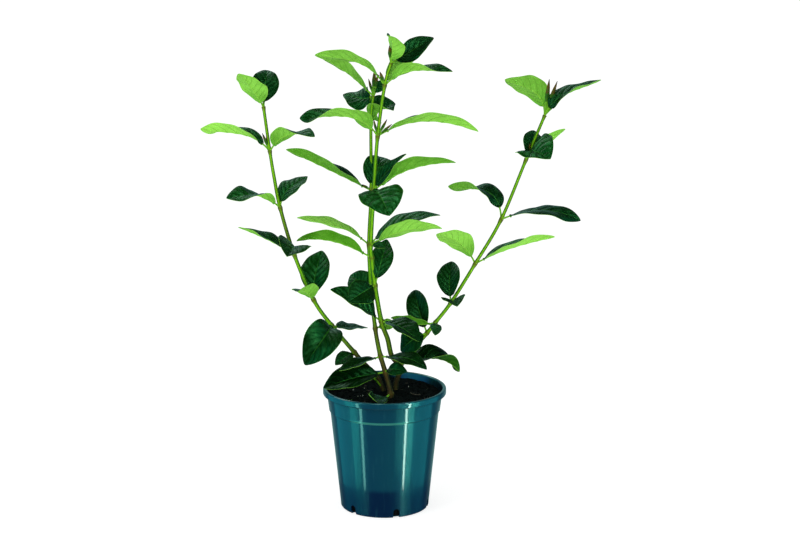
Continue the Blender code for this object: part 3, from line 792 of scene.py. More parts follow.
# %% Fill the pot and scatter crumbs
CRUMB_COUNT = 900
CRUMB_SIZES = (0.0005, 0.0021)
CRUMB_SPREAD = 0.97
CRUMB_ROOM = 1.3
CRUMB_LIFT = 0.25
CRUMB_SEED = 7
LUMP_UNEVEN = (0.72, 1.2)
LUMP_NARROW = 0.8
compost = new_piece("compost", soil_mesh(), [dark_compost], "dark_compost", "soil")
smooth(compost, 60)


def lump(centre, size, draw, flat=0.7):
    """Points and faces of an uneven little lump."""
    shape = bmesh.new()
    bmesh.ops.create_icosphere(shape, subdivisions=1, radius=1.0)
    spin = draw.uniform(0.0, math.tau)
    points = []
    for vert in shape.verts:
        grown = vert.co * size * draw.uniform(*LUMP_UNEVEN)
        x = grown.x * math.cos(spin) - grown.y * math.sin(spin) * LUMP_NARROW
        y = grown.x * math.sin(spin) + grown.y * math.cos(spin) * LUMP_NARROW
        points.append((centre[0] + x, centre[1] + y, centre[2] + grown.z * flat))
    faces = [tuple(vert.index for vert in face.verts) for face in shape.faces]
    shape.free()
    return points, faces


def joined(shapes):
    """One list of points and faces from many."""
    points = []
    faces = []
    for some_points, some_faces in shapes:
        start = len(points)
        points += [tuple(point) for point in some_points]
        faces += [tuple(start + corner for corner in face) for face in some_faces]
    return points, faces


def scatter_crumbs():
    """Lumps strewn over the compost, mostly small."""
    draw = random.Random(CRUMB_SEED)
    smallest, largest = CRUMB_SIZES
    shapes = []
    for index in range(CRUMB_COUNT):
        away = soil_edge() * CRUMB_SPREAD * math.sqrt(draw.random())
        turn = draw.uniform(0.0, math.tau)
        size = smallest + (largest - smallest) * draw.random() ** 3
        away = min(away, soil_edge() - size * CRUMB_ROOM)
        x, y = away * math.cos(turn), away * math.sin(turn)
        shapes.append(lump((x, y, crumbly_height(x, y) + size * CRUMB_LIFT), size, draw))
    return shapes


def new_loose_piece(name, shapes, finish):
    """A piece of many small shapes that lie on the compost."""
    return new_piece(name, to_mesh(name, *joined(shapes)), [finish], "dark_compost")


crumbs = new_loose_piece("compost_crumbs", scatter_crumbs(), dark_compost)
smooth(crumbs, 50)
print("crumbs:", CRUMB_COUNT)

# %% [markdown]
# Perlite is blown volcanic glass, white and light, that keeps compost airy. The few grains that show in
# front have measured places, and some strays lie behind them. Three green scraps lie at the front left.

# %% Perlite and green scraps
PERLITE_SPOTS = ((-34.5, -10.0, 0.7), (-31.0, -9.5, 0.6), (-28.2, -10.5, 1.0), (56.0, -12.0, 0.8))
PERLITE_STRAYS = 4
STRAY_TURNS = (0.15, math.pi - 0.15)
STRAY_DISTANCES = (30.0, 62.0)
STRAY_SIZES = (0.4, 0.9)
PERLITE_SEED = 11
SCRAP_SPOTS = ((-45.0, -27.0), (-48.5, -26.5), (-42.5, -26.0))
SCRAP_SIZE = 1.3
SCRAP_SEED = 3


def on_soil(x, y, lift=0.0):
    """A place on the compost or a little above it, from millimetres."""
    return Vector((x * MM, y * MM, crumbly_height(x * MM, y * MM) + lift * MM))


def perlite_shapes():
    draw = random.Random(PERLITE_SEED)
    shapes = [lump(on_soil(x, y, 0.3), size * MM, draw, 0.9) for x, y, size in PERLITE_SPOTS]
    for index in range(PERLITE_STRAYS):
        turn = draw.uniform(*STRAY_TURNS)
        away = draw.uniform(*STRAY_DISTANCES)
        spot = on_soil(away * math.cos(turn), away * math.sin(turn), 0.2)
        shapes.append(lump(spot, draw.uniform(*STRAY_SIZES) * MM, draw, 0.9))
    return shapes


def scrap_shapes():
    draw = random.Random(SCRAP_SEED)
    return [lump(on_soil(x, y, 0.5), SCRAP_SIZE * MM, draw, 0.35) for x, y in SCRAP_SPOTS]


grains = new_loose_piece("perlite_grains", perlite_shapes(), perlite)
scraps = new_loose_piece("green_scraps", scrap_shapes(), green_scrap)
print("loose pieces:", grains.name, scraps.name)

# %% [markdown]
# Roots, stems and folded leaves are all bars along a bent line. The line is a cubic curve that passes
# through each measured place, with the slope that joins the two places beside it. The bar's rings stand
# square to it and are carried from each to the next, so that they never twist, which a fixed upward
# direction can't promise.

# %% A bar along a smooth line


def through(places, steps):
    """Points of a smooth curve through the places, with this many steps from each to the next."""
    places = [np.array(place, float) for place in places]
    ends = [2 * places[0] - places[1]] + places + [2 * places[-1] - places[-2]]
    points = []
    for index in range(len(places) - 1):
        before, start, end, after = ends[index : index + 4]
        for share in np.linspace(0.0, 1.0, steps, endpoint=False):
            linear = (end - before) * share
            square = (2 * before - 5 * start + 4 * end - after) * share**2
            cube = (3 * start - before - 3 * end + after) * share**3
            points.append(start + 0.5 * (linear + square + cube))
    points.append(places[-1])
    return np.array(points)


def frames_along(points):
    """For each point of a line, two directions across it that never twist."""
    ways = np.gradient(points, axis=0)
    ways /= np.linalg.norm(ways, axis=1)[:, None]
    side = np.array((1.0, 0.0, 0.0))
    if abs(ways[0] @ side) > 0.9:
        side = np.array((0.0, 1.0, 0.0))
    sides = []
    for way in ways:
        side = side - way * (side @ way)
        side = side / np.linalg.norm(side)
        sides.append(side)
    return np.array(sides), np.cross(ways, sides)


def tube(points, radii, sides, squash=1.0):
    """Points and faces of a closed bar along the points. radii holds a number or a row for each point."""
    points = np.array(points)
    across, up = frames_along(points)
    angles = np.arange(sides) * math.tau / sides
    radii = np.array(radii)
    if radii.ndim == 1:
        radii = np.repeat(radii[:, None], sides, 1)
    out = across[:, None] * np.cos(angles)[:, None] + squash * up[:, None] * np.sin(angles)[:, None]
    rings = points[:, None] + radii[..., None] * out
    return rings.reshape(-1, 3), capped(len(points), sides)


print("a bar of 3 rings of 8 points has", len(tube(np.eye(3), np.ones(3), 8)[1]), "faces")

# %% [markdown]
# One longer root is seen at the front right. The rest are short threads that wander over the compost.

# %% Bits of root
LONG_ROOT = ((34, 2, 0.5), (35.5, -3, 1.0), (41, -5, 0.9), (46.5, -4, 0.4))
LONG_ROOT_RADIUS = 0.00045
ROOT_COUNT = 26
ROOT_SEED = 5
ROOT_PLACES = 4
ROOT_STEP = 2.2
ROOT_LIMIT = 66.0
ROOT_DISTANCES = (12.0, 62.0)
ROOT_LIFTS = (-0.1, 0.8)
ROOT_BENDS = (-0.8, 0.8)
ROOT_RADII = (0.00012, 0.00028)


def root_shapes():
    draw = random.Random(ROOT_SEED)
    bent = through([on_soil(*place) for place in LONG_ROOT], 8)
    shapes = [tube(bent, np.full(len(bent), LONG_ROOT_RADIUS), 7)]
    for index in range(ROOT_COUNT):
        turn = draw.uniform(0.0, math.tau)
        away = draw.uniform(*ROOT_DISTANCES)
        x, y = away * math.cos(turn), away * math.sin(turn)
        way = draw.uniform(0.0, math.tau)
        places = []
        for step in range(ROOT_PLACES):
            places.append(on_soil(x, y, draw.uniform(*ROOT_LIFTS)))
            way += draw.uniform(*ROOT_BENDS)
            x += ROOT_STEP * math.cos(way)
            y += ROOT_STEP * math.sin(way)
            if math.hypot(x, y) > ROOT_LIMIT:
                x, y = x * 0.95, y * 0.95
        line = through(places, 5)
        thin = draw.uniform(*ROOT_RADII)
        shapes.append(tube(line, np.linspace(thin, thin * 0.5, len(line)), 6))
    return shapes


roots = new_loose_piece("root_bits", root_shapes(), dry_root)
smooth(roots, 60)
print("root bits:", ROOT_COUNT + 1)

# %% [markdown]
# ## The stems
# Three stems stand in the pot, and the hindmost forks low down. Each is a smooth curve through
# measured places, thickest at the soil, with a swollen ring where a pair of leaves grows. The wood is
# brown near the soil and green above. Beside its shape, each point of the mesh carries how woody it is,
# how near to a ring it is, and its place on the bark rolled out straight, so that the streaks of the
# bark follow the stem's bends.

# %% Places of the stems, in millimetres
LOW_SHOOT = ((-3, 9, 156), (-9, 4, 165), (-17, 0, 175), (-21, -2, 183))
LEFT_STEM = {
    "foot": (-1, 10, 150),
    "rise": (-5, 9, 161),
    "bend": (-10, 8, 173),
    "lean": (-23, 6, 186),
    "n0": (-39, 4, 205),
    "n1": (-68, 0, 242),
    "n2": (-91, -3, 277),
    "n3": (-115, -6, 337),
    "n4": (-132, -8, 398),
    "slight": (-139, -9, 437),
    "n5": (-144, -10, 471),
    "n6": (-151, -12, 528),
}
CENTRE_STEM = {
    "foot": (7, -19, 150),
    "nb": (8, -19, 156),
    "nl": (1, -16, 184),
    "n0": (-5, -12, 204),
    "bend": (-9, -2, 220),
    "n1": (-12, 8, 236),
    "n3": (-17, 15, 280),
    "n4": (-20, 20, 344),
    "n5": (-17, 23, 415),
    "n6": (-17, 26, 502),
    "n7": (-14, 28, 536),
}
TRUNK = {
    "foot": (14, 14, 150),
    "rise": (15, 14, 162),
    "fork": (20, 12, 182),
    "bend": (9, 8, 200),
    "straight": (4, 4, 223),
    "n2": (-4, -2, 248),
    "n3": (-12, -8, 297),
    "n4b": (-16, -11, 334),
    "n4": (-17, -12, 352),
    "n5": (-13, -16, 422),
    "n6": (-8, -20, 492),
    "n7": (1, -22, 556),
    "n8": (9, -22, 584),
}
BRANCH = {
    "fork": (17, 13, 172),
    "elbow": (23, 12, 188),
    "bend": (38, 13, 204),
    "n0": (42, 14, 212),
    "n1": (55, 15, 228),
    "n1b": (66, 16, 242),
    "n2": (86, 18, 268),
    "n3": (117, 20, 319),
    "n4": (150, 22, 377),
    "n5": (181, 22, 455),
    "n6": (204, 22, 512),
}

# How woody each stem is at these heights, in millimetres.
LEFT_WOOD = (
    (150, 1.0), (190, 0.75), (215, 0.35), (245, 0.15), (330, 0.1),
    (350, 0.4), (385, 0.35), (408, 0.15), (440, 0.0),
)
CENTRE_WOOD = ((150, 1.0), (170, 0.75), (205, 0.45), (230, 0.45), (260, 0.2), (300, 0.0))
TRUNK_WOOD = ((150, 1.0), (185, 0.85), (205, 0.45), (240, 0.3), (270, 0.15), (300, 0.0))
BRANCH_WOOD = ((170, 0.8), (190, 0.6), (215, 0.25), (250, 0.05))
print("stems have", [len(stem) for stem in (LEFT_STEM, CENTRE_STEM, TRUNK, BRANCH)], "places")

# %% [markdown]
# A stem tapers evenly from its foot, and swells with a fine ridge where leaves grow. Four shallow
# grooves run along it. The places whose names start with n are its rings.

# %% The bark of one stem
BURIED = 0.030
NODE_SWELL = 0.22
NODE_REACH = 0.0035
RING_RIDGE = 0.00035
RIDGE_REACH = 0.0011
RING_REACH = 0.0022
GROOVES = 4
GROOVE_DEPTH = 0.035
BARK_SIDES = 20
BARK_STEPS = 10


def line_of(stem, buried):
    """The stem's middle line, and how far along the stem each of its points is."""
    count = len(stem)
    line = through([np.array(place) * MM for place in stem.values()], BARK_STEPS)
    turn = np.linspace(0.0, count - 1, len(line))
    if not buried:
        return line, turn / (count - 1)
    line = np.vstack([line[0] - (0.0, 0.0, BURIED), line])
    return line, np.append(0.0, (2 * turn + 1) / (2 * count - 1))


def bark_of(stem, radii, wood, buried=True):
    """Points and faces of a stem, with what each point of its bark carries."""
    line, share = line_of(stem, buried)
    rings = np.array([place for name, place in stem.items() if name.startswith("n")]) * MM
    near = np.linalg.norm(line[:, None] - rings, axis=2).min(1)
    swell = 1.0 + NODE_SWELL * np.exp(-((near / NODE_REACH) ** 2))
    width = (radii[0] + (radii[1] - radii[0]) * share) * swell
    width = width + RING_RIDGE * np.exp(-((near / RIDGE_REACH) ** 2))
    angles = np.arange(BARK_SIDES) * math.tau / BARK_SIDES
    points, faces = tube(line, width[:, None] * (1.0 + GROOVE_DEPTH * np.cos(GROOVES * angles)), BARK_SIDES)
    run = np.append(0.0, np.linalg.norm(np.diff(line, axis=0), axis=1).cumsum())
    rolled = [width[:, None] * np.cos(angles), width[:, None] * np.sin(angles)]
    rolled.append(np.repeat(run[:, None], BARK_SIDES, 1))
    heights, woods = np.array(wood).T
    return {
        "points": points,
        "faces": faces,
        "rolled": np.stack(rolled, 2).reshape(-1, 3),
        "woody": np.repeat(np.interp(line[:, 2], heights * MM, woods), BARK_SIDES),
        "ring": np.repeat(np.exp(-((near / RING_REACH) ** 2)), BARK_SIDES),
    }


def carry(mesh, name, values):
    """Writes a number or a place onto each point of a mesh."""
    values = np.asarray(values, np.float32)
    kind, field = ("FLOAT_VECTOR", "vector") if values.ndim == 2 else ("FLOAT", "value")
    mesh.attributes.new(name, kind, "POINT").data.foreach_set(field, values.ravel())


def grow_bark(name, parts, node_name):
    points, faces = joined([(part["points"], part["faces"]) for part in parts])
    mesh = to_mesh(name, points, faces)
    for key in ("rolled", "woody", "ring"):
        carry(mesh, key, np.concatenate([part[key] for part in parts]))
    piece = new_piece(name, mesh, [green_bark], "laurustinus_green", node_name)
    smooth(piece, 50)
    return piece


print("left stem's bark has", len(bark_of(LEFT_STEM, (0.003, 0.002), LEFT_WOOD)["points"]), "points")

# %% [markdown]
# Young bark is satin green with fine lengthwise streaks, and turns olive and then purple brown with age.
# Three darker bands of painted shade run up it. Each ring is brown, and old
# wood has small pale pores.

# %% Finish of the bark
YOUNG_GREENS = (colour(0.130, 0.400, 0.006), colour(0.25, 0.60, 0.010))
# The shady green and brown are painted shade, in bands round the stem.
PAINTED_SHADE_GREEN = colour(0.030, 0.140, 0.003)
OLD_BROWNS = (colour(0.060, 0.030, 0.020), colour(0.150, 0.110, 0.018))
DARK_BROWN = colour(0.030, 0.016, 0.013)
PAINTED_SHADE_BROWN = colour(0.020, 0.012, 0.008)
PORE_TAN = colour(0.30, 0.22, 0.13)
RING_BROWN = colour(0.115, 0.075, 0.012)
PAINTED_SHADE_BANDS = 3.0


def on_mesh(tree, name, outlet=2):
    """What the mesh carries under this name: a number, or with outlet 1 a place."""
    return source(tree, "Attribute", outlet, attribute_name=name)


def finish_bark():
    material, tree, shader = new_material(
        "green_bark", Roughness=0.42, Specular_IOR_Level=0.15, Specular_Tint=colour(0.60, 1.0, 0.30)
    )
    place = on_mesh(tree, "rolled", 1)
    tone = uneven(place, 0.0016, 1.8, (1.0, 1.0, 0.12))
    patches = uneven(place, 0.012, 1.6, (1.0, 1.0, 0.35))

    # The darker bands of painted shade follow the angle round the stem.
    turn = calc("ARCTAN2", axis(place, 1), axis(place, 0))
    ridges = calc("SINE", times(turn, PAINTED_SHADE_BANDS))
    painted_band_shade = times(ease(ridges, 0.55, -0.55), 0.90)
    green = blend(painted_band_shade, blend(tone["Tone"], *YOUNG_GREENS), PAINTED_SHADE_GREEN)
    brown = blend(patches["Tone"], *OLD_BROWNS)
    brown = blend(times(tone["Fine"], 0.5), brown, DARK_BROWN)
    brown = blend(painted_band_shade, brown, PAINTED_SHADE_BROWN)
    patchy = calc("SUBTRACT", patches["Tone"], 0.5)
    aged = calc("MULTIPLY_ADD", patchy, 0.5, on_mesh(tree, "woody"))
    bark = blend(ease(aged, 0.12, 0.68), green, brown)

    pores = node("TexVoronoi", {"Vector": stretched(place, (1.0, 1.0, 0.5)), "Scale": 420.0})
    spots = times(ease(pores, 0.20, 0.10), ease(aged, 0.3, 0.8))
    bark = blend(times(spots, 0.55), bark, PORE_TAN)
    bark = blend(times(on_mesh(tree, "ring"), 0.75), bark, RING_BROWN)
    fill(shader.inputs, {"Base Color": bark, "Roughness": ease(aged, 0.1, 0.8, 0.40, 0.72)})
    emboss(shader, calc("ADD", tone["Fine"], times(spots, 1.2)), 0.5, 0.0003)
    return material


green_bark = finish_bark()
print("finish:", green_bark.name)

# %% [markdown]
# The left stem also bears a thin low shoot. It has no rings, so it gets the same data with plain values.

# %% Raise the stems
LEFT_RADII = (0.0033, 0.0019)
CENTRE_RADII = (0.0035, 0.0018)
TRUNK_RADII = (0.0038, 0.0019)
BRANCH_RADII = (0.0030, 0.0019)
SHOOT_RADIUS = 0.0011
SHOOT_WOOD = 0.15


def low_shoot():
    line = through([np.array(place) * MM for place in LOW_SHOOT], 8)
    points, faces = tube(line, np.full(len(line), SHOOT_RADIUS), BARK_SIDES)
    none = np.zeros(len(points))
    rolled = points - points.mean(0)
    return {"points": points, "faces": faces, "rolled": rolled, "woody": none + SHOOT_WOOD, "ring": none}


left_parts = [bark_of(LEFT_STEM, LEFT_RADII, LEFT_WOOD), low_shoot()]
centre_parts = [bark_of(CENTRE_STEM, CENTRE_RADII, CENTRE_WOOD)]
forked_parts = [bark_of(TRUNK, TRUNK_RADII, TRUNK_WOOD)]
forked_parts.append(bark_of(BRANCH, BRANCH_RADII, BRANCH_WOOD, buried=False))
left_bark = grow_bark("left_bark", left_parts, "left_stem")
centre_bark = grow_bark("centre_bark", centre_parts, "centre_stem")
forked_bark = grow_bark("forked_bark", forked_parts, "forked_stem")
for piece in (left_bark, centre_bark, forked_bark):
    print(piece.name, "has", len(piece.data.polygons), "faces")

# %% [markdown]
# ## The leaves
# A laurustinus leaf is a leathery oval blade, folded a little along its midrib, arched, and on a short
# stalk. Its top is dark and glossy and its underside pale and matt, and which of them shows is most of
# what the eye reads in this plant. So each leaf has a ring, a reach from there to its tip, a width and a
# bow, in millimetres. Its leans say how far its top looks towards the viewer at both ends, fold how far
# its halves rise and side how far it looks sideways, in degrees. Turn is where along it the blade turns
# from one lean to the other, and skew how much more it bows near its tip.

# %% Places of the leaves: ring, reach, width, bow, leans, fold, side, turn, skew
LEFT_LEAVES = (
    ("n6", (-27, -35, 46), 42, 2, (-67, -33), 11, 18, 0.22, 0.09),
    ("n6", (3, 29, 42), 36, 8, (66, 75), 15, 3, 0.4, 0.46),
    ("n5", (-87, 2, 28), 38, 11, (-1, -80), 27, -24, 0.81, -0.83),
    ("n5", (58, -34, 24), 44, 12, (-26, 22), 15, -5, 0.75, -0.13),
    ("n4", (-66, -24, 17), 42, 10, (-18, 35), 12, 1, 0.61, -0.19),
    ("n4", (34, 20, 37), 34, 9, (61, 36), 11, -32, 0.4, -0.8),
    ("n3", (-72, 16, 32), 31, 2, (6, -16), 21, 7, 0.7, -0.21),
    ("n3", (-6, -62, 11), 47, 11, (-1, 11), 22, 17, 0.62, -0.38),
    ("n2", (10, 29, 58), 41, 9, (77, 71), 18, -15, 0.48, -0.53),
    ("n2", (-18, -36, 19), 36, 5, (-44, -62), 18, 7, 0.48, 0.52),
    ("n1", (-33, -46, -40), 51, 22, (71, 43), 28, 15, 0.21, -0.17),
    ("n1", (46, 30, -11), 31, -2, (22, 0), 14, 3, 0.38, -0.23),
    ("n0", (-24, -26, -10), 20, 3, (42, 50), 13, -6, 0.52, 0.03),
    ("shoot", (-20, -6, -7), 11, 2, (50, 50), 12, 0, 0.5, 0),
)
CENTRE_LEAVES = (
    ("nb", (-27, -61, 17), 24, -9, (1, 49), 19, 10, 0.42, -0.32),
    ("nl", (-79, -16, -17), 42, 4, (32, 38), 25, 3, 0.39, 0.18),
    ("nl", (28, -19, 6), 18, 6, (17, 60), 12, -10, 0.32, -0.27),
    ("n0", (-52, -29, -11), 28, 0, (-1, 13), 18, 0, 0.62, 0.06),
    ("n0", (59, -27, -10), 31, 7, (-1, 22), 7, 3, 0.4, 0.59),
    ("n1", (27, 4, 5), 18, 2, (-65, -72), 10, 2, 0.49, 0.04),
    ("n3", (-27, 19, 21), 34, 6, (49, 60), 12, -5, 0.45, -0.06),
    ("n4", (-93, 12, 33), 37, 8, (-27, -32), 11, 9, 0.53, -0.36),
    ("n4", (92, 9, 37), 37, 12, (19, 10), 8, -7, 0.54, 0.09),
    ("n5", (11, 25, 39), 44, 12, (83, 68), 19, 10, 0.49, 0.37),
    ("n5", (-108, -8, 54), 43, 0, (0, -46), 26, 0, 0.71, 0.02),
    ("n6", (31, 21, 21), 44, 5, (-80, 24), 21, 11, 0.4, 0.28),
    ("n7", (-67, -12, 51), 32, 4, (-2, -34), 22, 1, 0.5, 0.35),
    ("n7", (-39, 26, -2), 40, -6, (64, 15), 4, -7, 0.49, -0.27),
    ("n7", (14, 6, 19), 14, 2, (60, 60), 12, 0, 0.5, 0),
)
TRUNK_LEAVES = (
    ("n2", (-65, -13, 45), 42, 2, (22, 26), 29, -1, 0.28, 0.27),
    ("n2", (48, -36, -17), 42, 5, (3, 11), 20, 1, 0.44, 0.05),
    ("n3", (15, 33, 53), 29, 13, (68, 67), 9, 3, 0.53, -0.62),
    ("n3", (-33, -36, -13), 36, 3, (64, 53), 9, 6, 0.57, 0.08),
    ("n4b", (-95, -11, 24), 39, 10, (-27, -47), 25, 4, 0.75, 0.19),
    ("n4", (90, -14, 23), 39, 8, (-38, -37), 14, -4, 0.58, 0.08),
    ("n4", (17, -14, -2), 12, 2, (44, 39), 11, -3, 0.49, 0.02),
    ("n5", (41, -14, 49), 20, 4, (49, 16), 19, -8, 0.56, -0.19),
    ("n5", (103, -2, 36), 43, 11, (-43, -17), 28, 7, 0.33, -0.11),
    ("n5", (20, -58, -21), 59, 8, (30, 41), 15, -1, 0.65, -0.23),
    ("n6", (-97, -9, 24), 49, 21, (-16, 88), 18, -25, 0.87, -0.59),
    ("n6", (126, -1, 6), 42, 16, (-9, -38), 24, 2, 0.68, -0.18),
    ("n7", (-87, 7, 37), 36, 14, (-22, -55), 16, 12, 0.72, -0.43),
    ("n7", (84, -12, 19), 34, 10, (-32, 24), 25, 9, 0.6, -0.61),
    ("n7", (47, 20, 41), 28, 9, (-53, -49), 14, 5, 0.47, -0.36),
    ("n8", (-5, -24, 37), 33, 6, (-54, -65), 25, 48, 0.49, 0.56),
    ("n8", (53, 11, 30), 29, 1, (84, 35), 25, 15, 0.52, 0.12),
)
BRANCH_LEAVES = (
    ("n6", (-51, 4, 45), 42, 18, (-51, -40), 18, 0, 0.48, -0.68),
    ("n6", (70, -6, 46), 38, 10, (54, -2), 17, 9, 0.28, -0.84),
    ("n5", (28, -43, 8), 60, 10, (-5, 16), 25, -21, 0.42, -0.4),
    ("n5", (11, 21, 34), 28, 9, (85, 59), 13, 12, 0.43, -0.42),
    ("n5", (49, -4, 40), 19, 3, (-29, -38), 11, 1, 0.5, -0.06),
    ("n4", (-68, 16, 40), 42, 19, (10, -54), 11, -10, 0.69, -0.64),
    ("n4", (101, -12, 1), 41, 17, (4, 65), 2, 10, 0.83, 0.07),
    ("n3", (-50, -27, 45), 40, 12, (-45, -49), 12, 5, 0.45, -0.36),
    ("n3", (102, -3, 36), 36, 4, (-3, -55), 24, -9, 0.79, -0.37),
    ("n2", (1, 33, 47), 35, 8, (62, 80), 28, -14, 0.41, -0.52),
    ("n2", (7, -38, 4), 35, 4, (-6, 20), 24, -5, 0.58, 0.08),
    ("n1b", (-58, 4, 5), 33, -5, (-28, -38), 14, 6, 0.5, -0.3),
    ("n1", (-16, 34, 49), 33, 9, (86, 68), 28, -10, 0.49, 0.09),
    ("n1b", (-1, -32, -9), 16, 2, (31, 58), 9, 11, 0.44, -0.18),
    ("n1", (-34, -1, -24), 32, 8, (60, 40), 9, -3, 0.71, -0.29),
    ("elbow", (74, -8, -9), 45, 12, (15, -73), 27, 2, 0.77, 0.39),
)
print("leaves:", [len(leaves) for leaves in (LEFT_LEAVES, CENTRE_LEAVES, TRUNK_LEAVES, BRANCH_LEAVES)])

# %% [markdown]
# Seen flat, a blade is widest a little below its middle and narrows to a blunt tip, which a sine with
# its sides filled out gives. Between each two side veins it bulges, at the same places as the finish
# paints them, because both use the same numbers.

# %% Outline and bulges of one blade
TIP_HALF_WIDTH = 0.0005
WIDEST_SHIFT = 0.88
BLUNTNESS = 0.78
HALF_COLUMNS = (0.02, 0.05, 0.11, 0.20, 0.32, 0.46, 0.62, 0.78, 0.90, 0.97, 1.0)
COLUMNS = np.array([-share for share in reversed(HALF_COLUMNS)] + [0.0] + list(HALF_COLUMNS))


def unit(vectors):
    return vectors / np.linalg.norm(vectors, axis=-1, keepdims=True)


def rise_over(values, low, high):
    """0 below low, 1 above high and smooth between them."""
    share = np.clip((values - low) / (high - low), 0.0, 1.0)
    return share * share * (3.0 - 2.0 * share)


def half_width(along, width):
    outline = np.sin(math.pi * np.clip(along, 0.0, 1.0) ** WIDEST_SHIFT)
    return TIP_HALF_WIDTH + (width / 2 - TIP_HALF_WIDTH) * np.maximum(outline, 0.0) ** BLUNTNESS


def vein_domes(along, across):
    """How far a point lies between two side veins, as in the veins' group: 0 on a vein, 1 halfway."""
    off = np.abs(across)
    phase = (along - VEIN_SWEEP * off**VEIN_BEND) * VEIN_PAIRS + VEIN_OFFSET * (across > 0)
    away = np.abs(phase - np.round(phase))
    fade = (1.0 - rise_over(off, 0.72, 0.97)) * rise_over(along, 0.0, 0.08)
    return np.sin(math.pi * away) * (fade * (1.0 - rise_over(along, 0.93, 1.0)))


print("one leaf has a grid of", len(COLUMNS), "columns")

# %% [markdown]
# The middle surface of a leaf starts from one bent line, root to tip. At each point of it the blade has
# a direction that its top looks to, which turns over from one lean to the other along the way. The two
# halves rise from the line like a shallow V, with a wave along their edges. The stalk is the same
# surface, only as narrow as the stalk.

# %% Middle surface of a leaf
PETIOLE_RADIUS = 0.0011
PETIOLE_SHARE = 0.12
PETIOLE_RANGE = (0.005, 0.011)
PETIOLE_ROWS = 6
FOOT_SWELL = 0.45
FOOT_REACH = 0.0028
WAVES = 2.6
WAVE_HEIGHT = 0.05
HALF_BULGE = 0.05
TURN_SPAN = 0.70
QUILT_HEIGHT = 0.032
BLADE_OPENS = (0.0, 0.10)
CROWDED_ENDS = 0.35


def look_of(lean, side):
    """The direction that a blade's top looks to, from its lean towards the viewer and to the side."""
    lean, side = math.radians(lean), math.radians(side)
    return np.array((math.sin(side), -math.sin(lean) * math.cos(side), math.cos(lean) * math.cos(side)))


def rows_of(petiole, rows):
    """Shares along a leaf: a few on its stalk, then more where the blade starts and ends."""
    stalk = np.linspace(0.0, petiole, PETIOLE_ROWS + 1)[:-1]
    even = np.linspace(0.0, 1.0, rows)
    steps = (1.0 - CROWDED_ENDS) * even + CROWDED_ENDS * (0.5 - 0.5 * np.cos(math.pi * even))
    return np.append(stalk, petiole + (1.0 - petiole) * steps)[:, None]


def bent_line(root, reach, rise, skew, share):
    """The leaf's middle line, bowed by rise and more so to one end by skew, and the way it runs."""
    shift = 1.0 + skew * (2.0 * share - 1.0)
    slope = (1.0 - 2.0 * share) * shift + 2.0 * skew * share * (1.0 - share)
    line = root + reach * share + rise * 4.0 * share * (1.0 - share) * shift
    return line, unit(reach + rise * 4.0 * slope)


def blade(root, leaf, phase, rows):
    """The middle surface of a leaf on a grid, the share of its blade at each point and its half widths."""
    ring, reach, width, bow, leans, fold, side, turn, skew = leaf
    reach = np.array(reach) * MM
    length = np.linalg.norm(reach)
    petiole = min(max(length * PETIOLE_SHARE, PETIOLE_RANGE[0]), PETIOLE_RANGE[1]) / length
    share = rows_of(petiole, rows)
    across = COLUMNS[None, :]
    off = np.abs(across)

    looks = look_of(leans[0], side), look_of(leans[1], side)
    middle = looks[0] + looks[1]
    way = reach / length
    rise = unit(middle - way * (middle @ way)) * bow * MM
    line, tangent = bent_line(root, reach, rise, skew, share)
    turned_over = rise_over(share, turn - TURN_SPAN / 2, turn + TURN_SPAN / 2)
    look = looks[0] * (1.0 - turned_over) + looks[1] * turned_over
    normal = unit(look - tangent * (look * tangent).sum(1, keepdims=True))
    sideways = np.cross(normal, tangent)

    along = (share - petiole) / (1.0 - petiole)
    opened = rise_over(along, *BLADE_OPENS)
    blade_half = np.maximum(half_width(along, width * MM), PETIOLE_RADIUS * (1.0 - along))
    foot = 1.0 + FOOT_SWELL * np.exp(-((share * length / FOOT_REACH) ** 2))
    half = np.where(along < 0.0, PETIOLE_RADIUS * foot, blade_half)
    fold = math.radians(fold) * opened
    lift = half * off * np.sin(fold) + half * HALF_BULGE * 4.0 * off * (1.0 - off) * opened
    wave = np.sin(math.tau * WAVES * along + phase + across) * half * WAVE_HEIGHT * off**2 * opened
    quilt = half * QUILT_HEIGHT * vein_domes(along, across)
    out = (across * half * np.cos(fold))[..., None]
    surface = line[:, None] + sideways[:, None] * out + normal[:, None] * (lift + wave + quilt)[..., None]
    return surface, np.broadcast_to(along, half.shape[:1] + across.shape[1:]), half


print("a blade of 20 rows has a grid of", blade(np.zeros(3), LEFT_LEAVES[0], 0.0, 20)[0].shape)

# %% [markdown]
# The top and the underside lie to both sides of that surface, thin at the edge, round at the stalk and
# raised below the midrib. A rim of narrow faces closes them into one solid leaf.

# %% Two skins and a rim
BLADE_THICKNESS = (0.00032, 0.00014)
RIB_WIDTHS = (0.00035, 0.0006)
RIB_SUNK = 0.00022
RIB_RAISED = 0.00065
STALK_ROUND = 0.004
STALK_END = 0.02
SKIN_OPENS = (-0.03, 0.10)
RIB_TAPER = 0.75


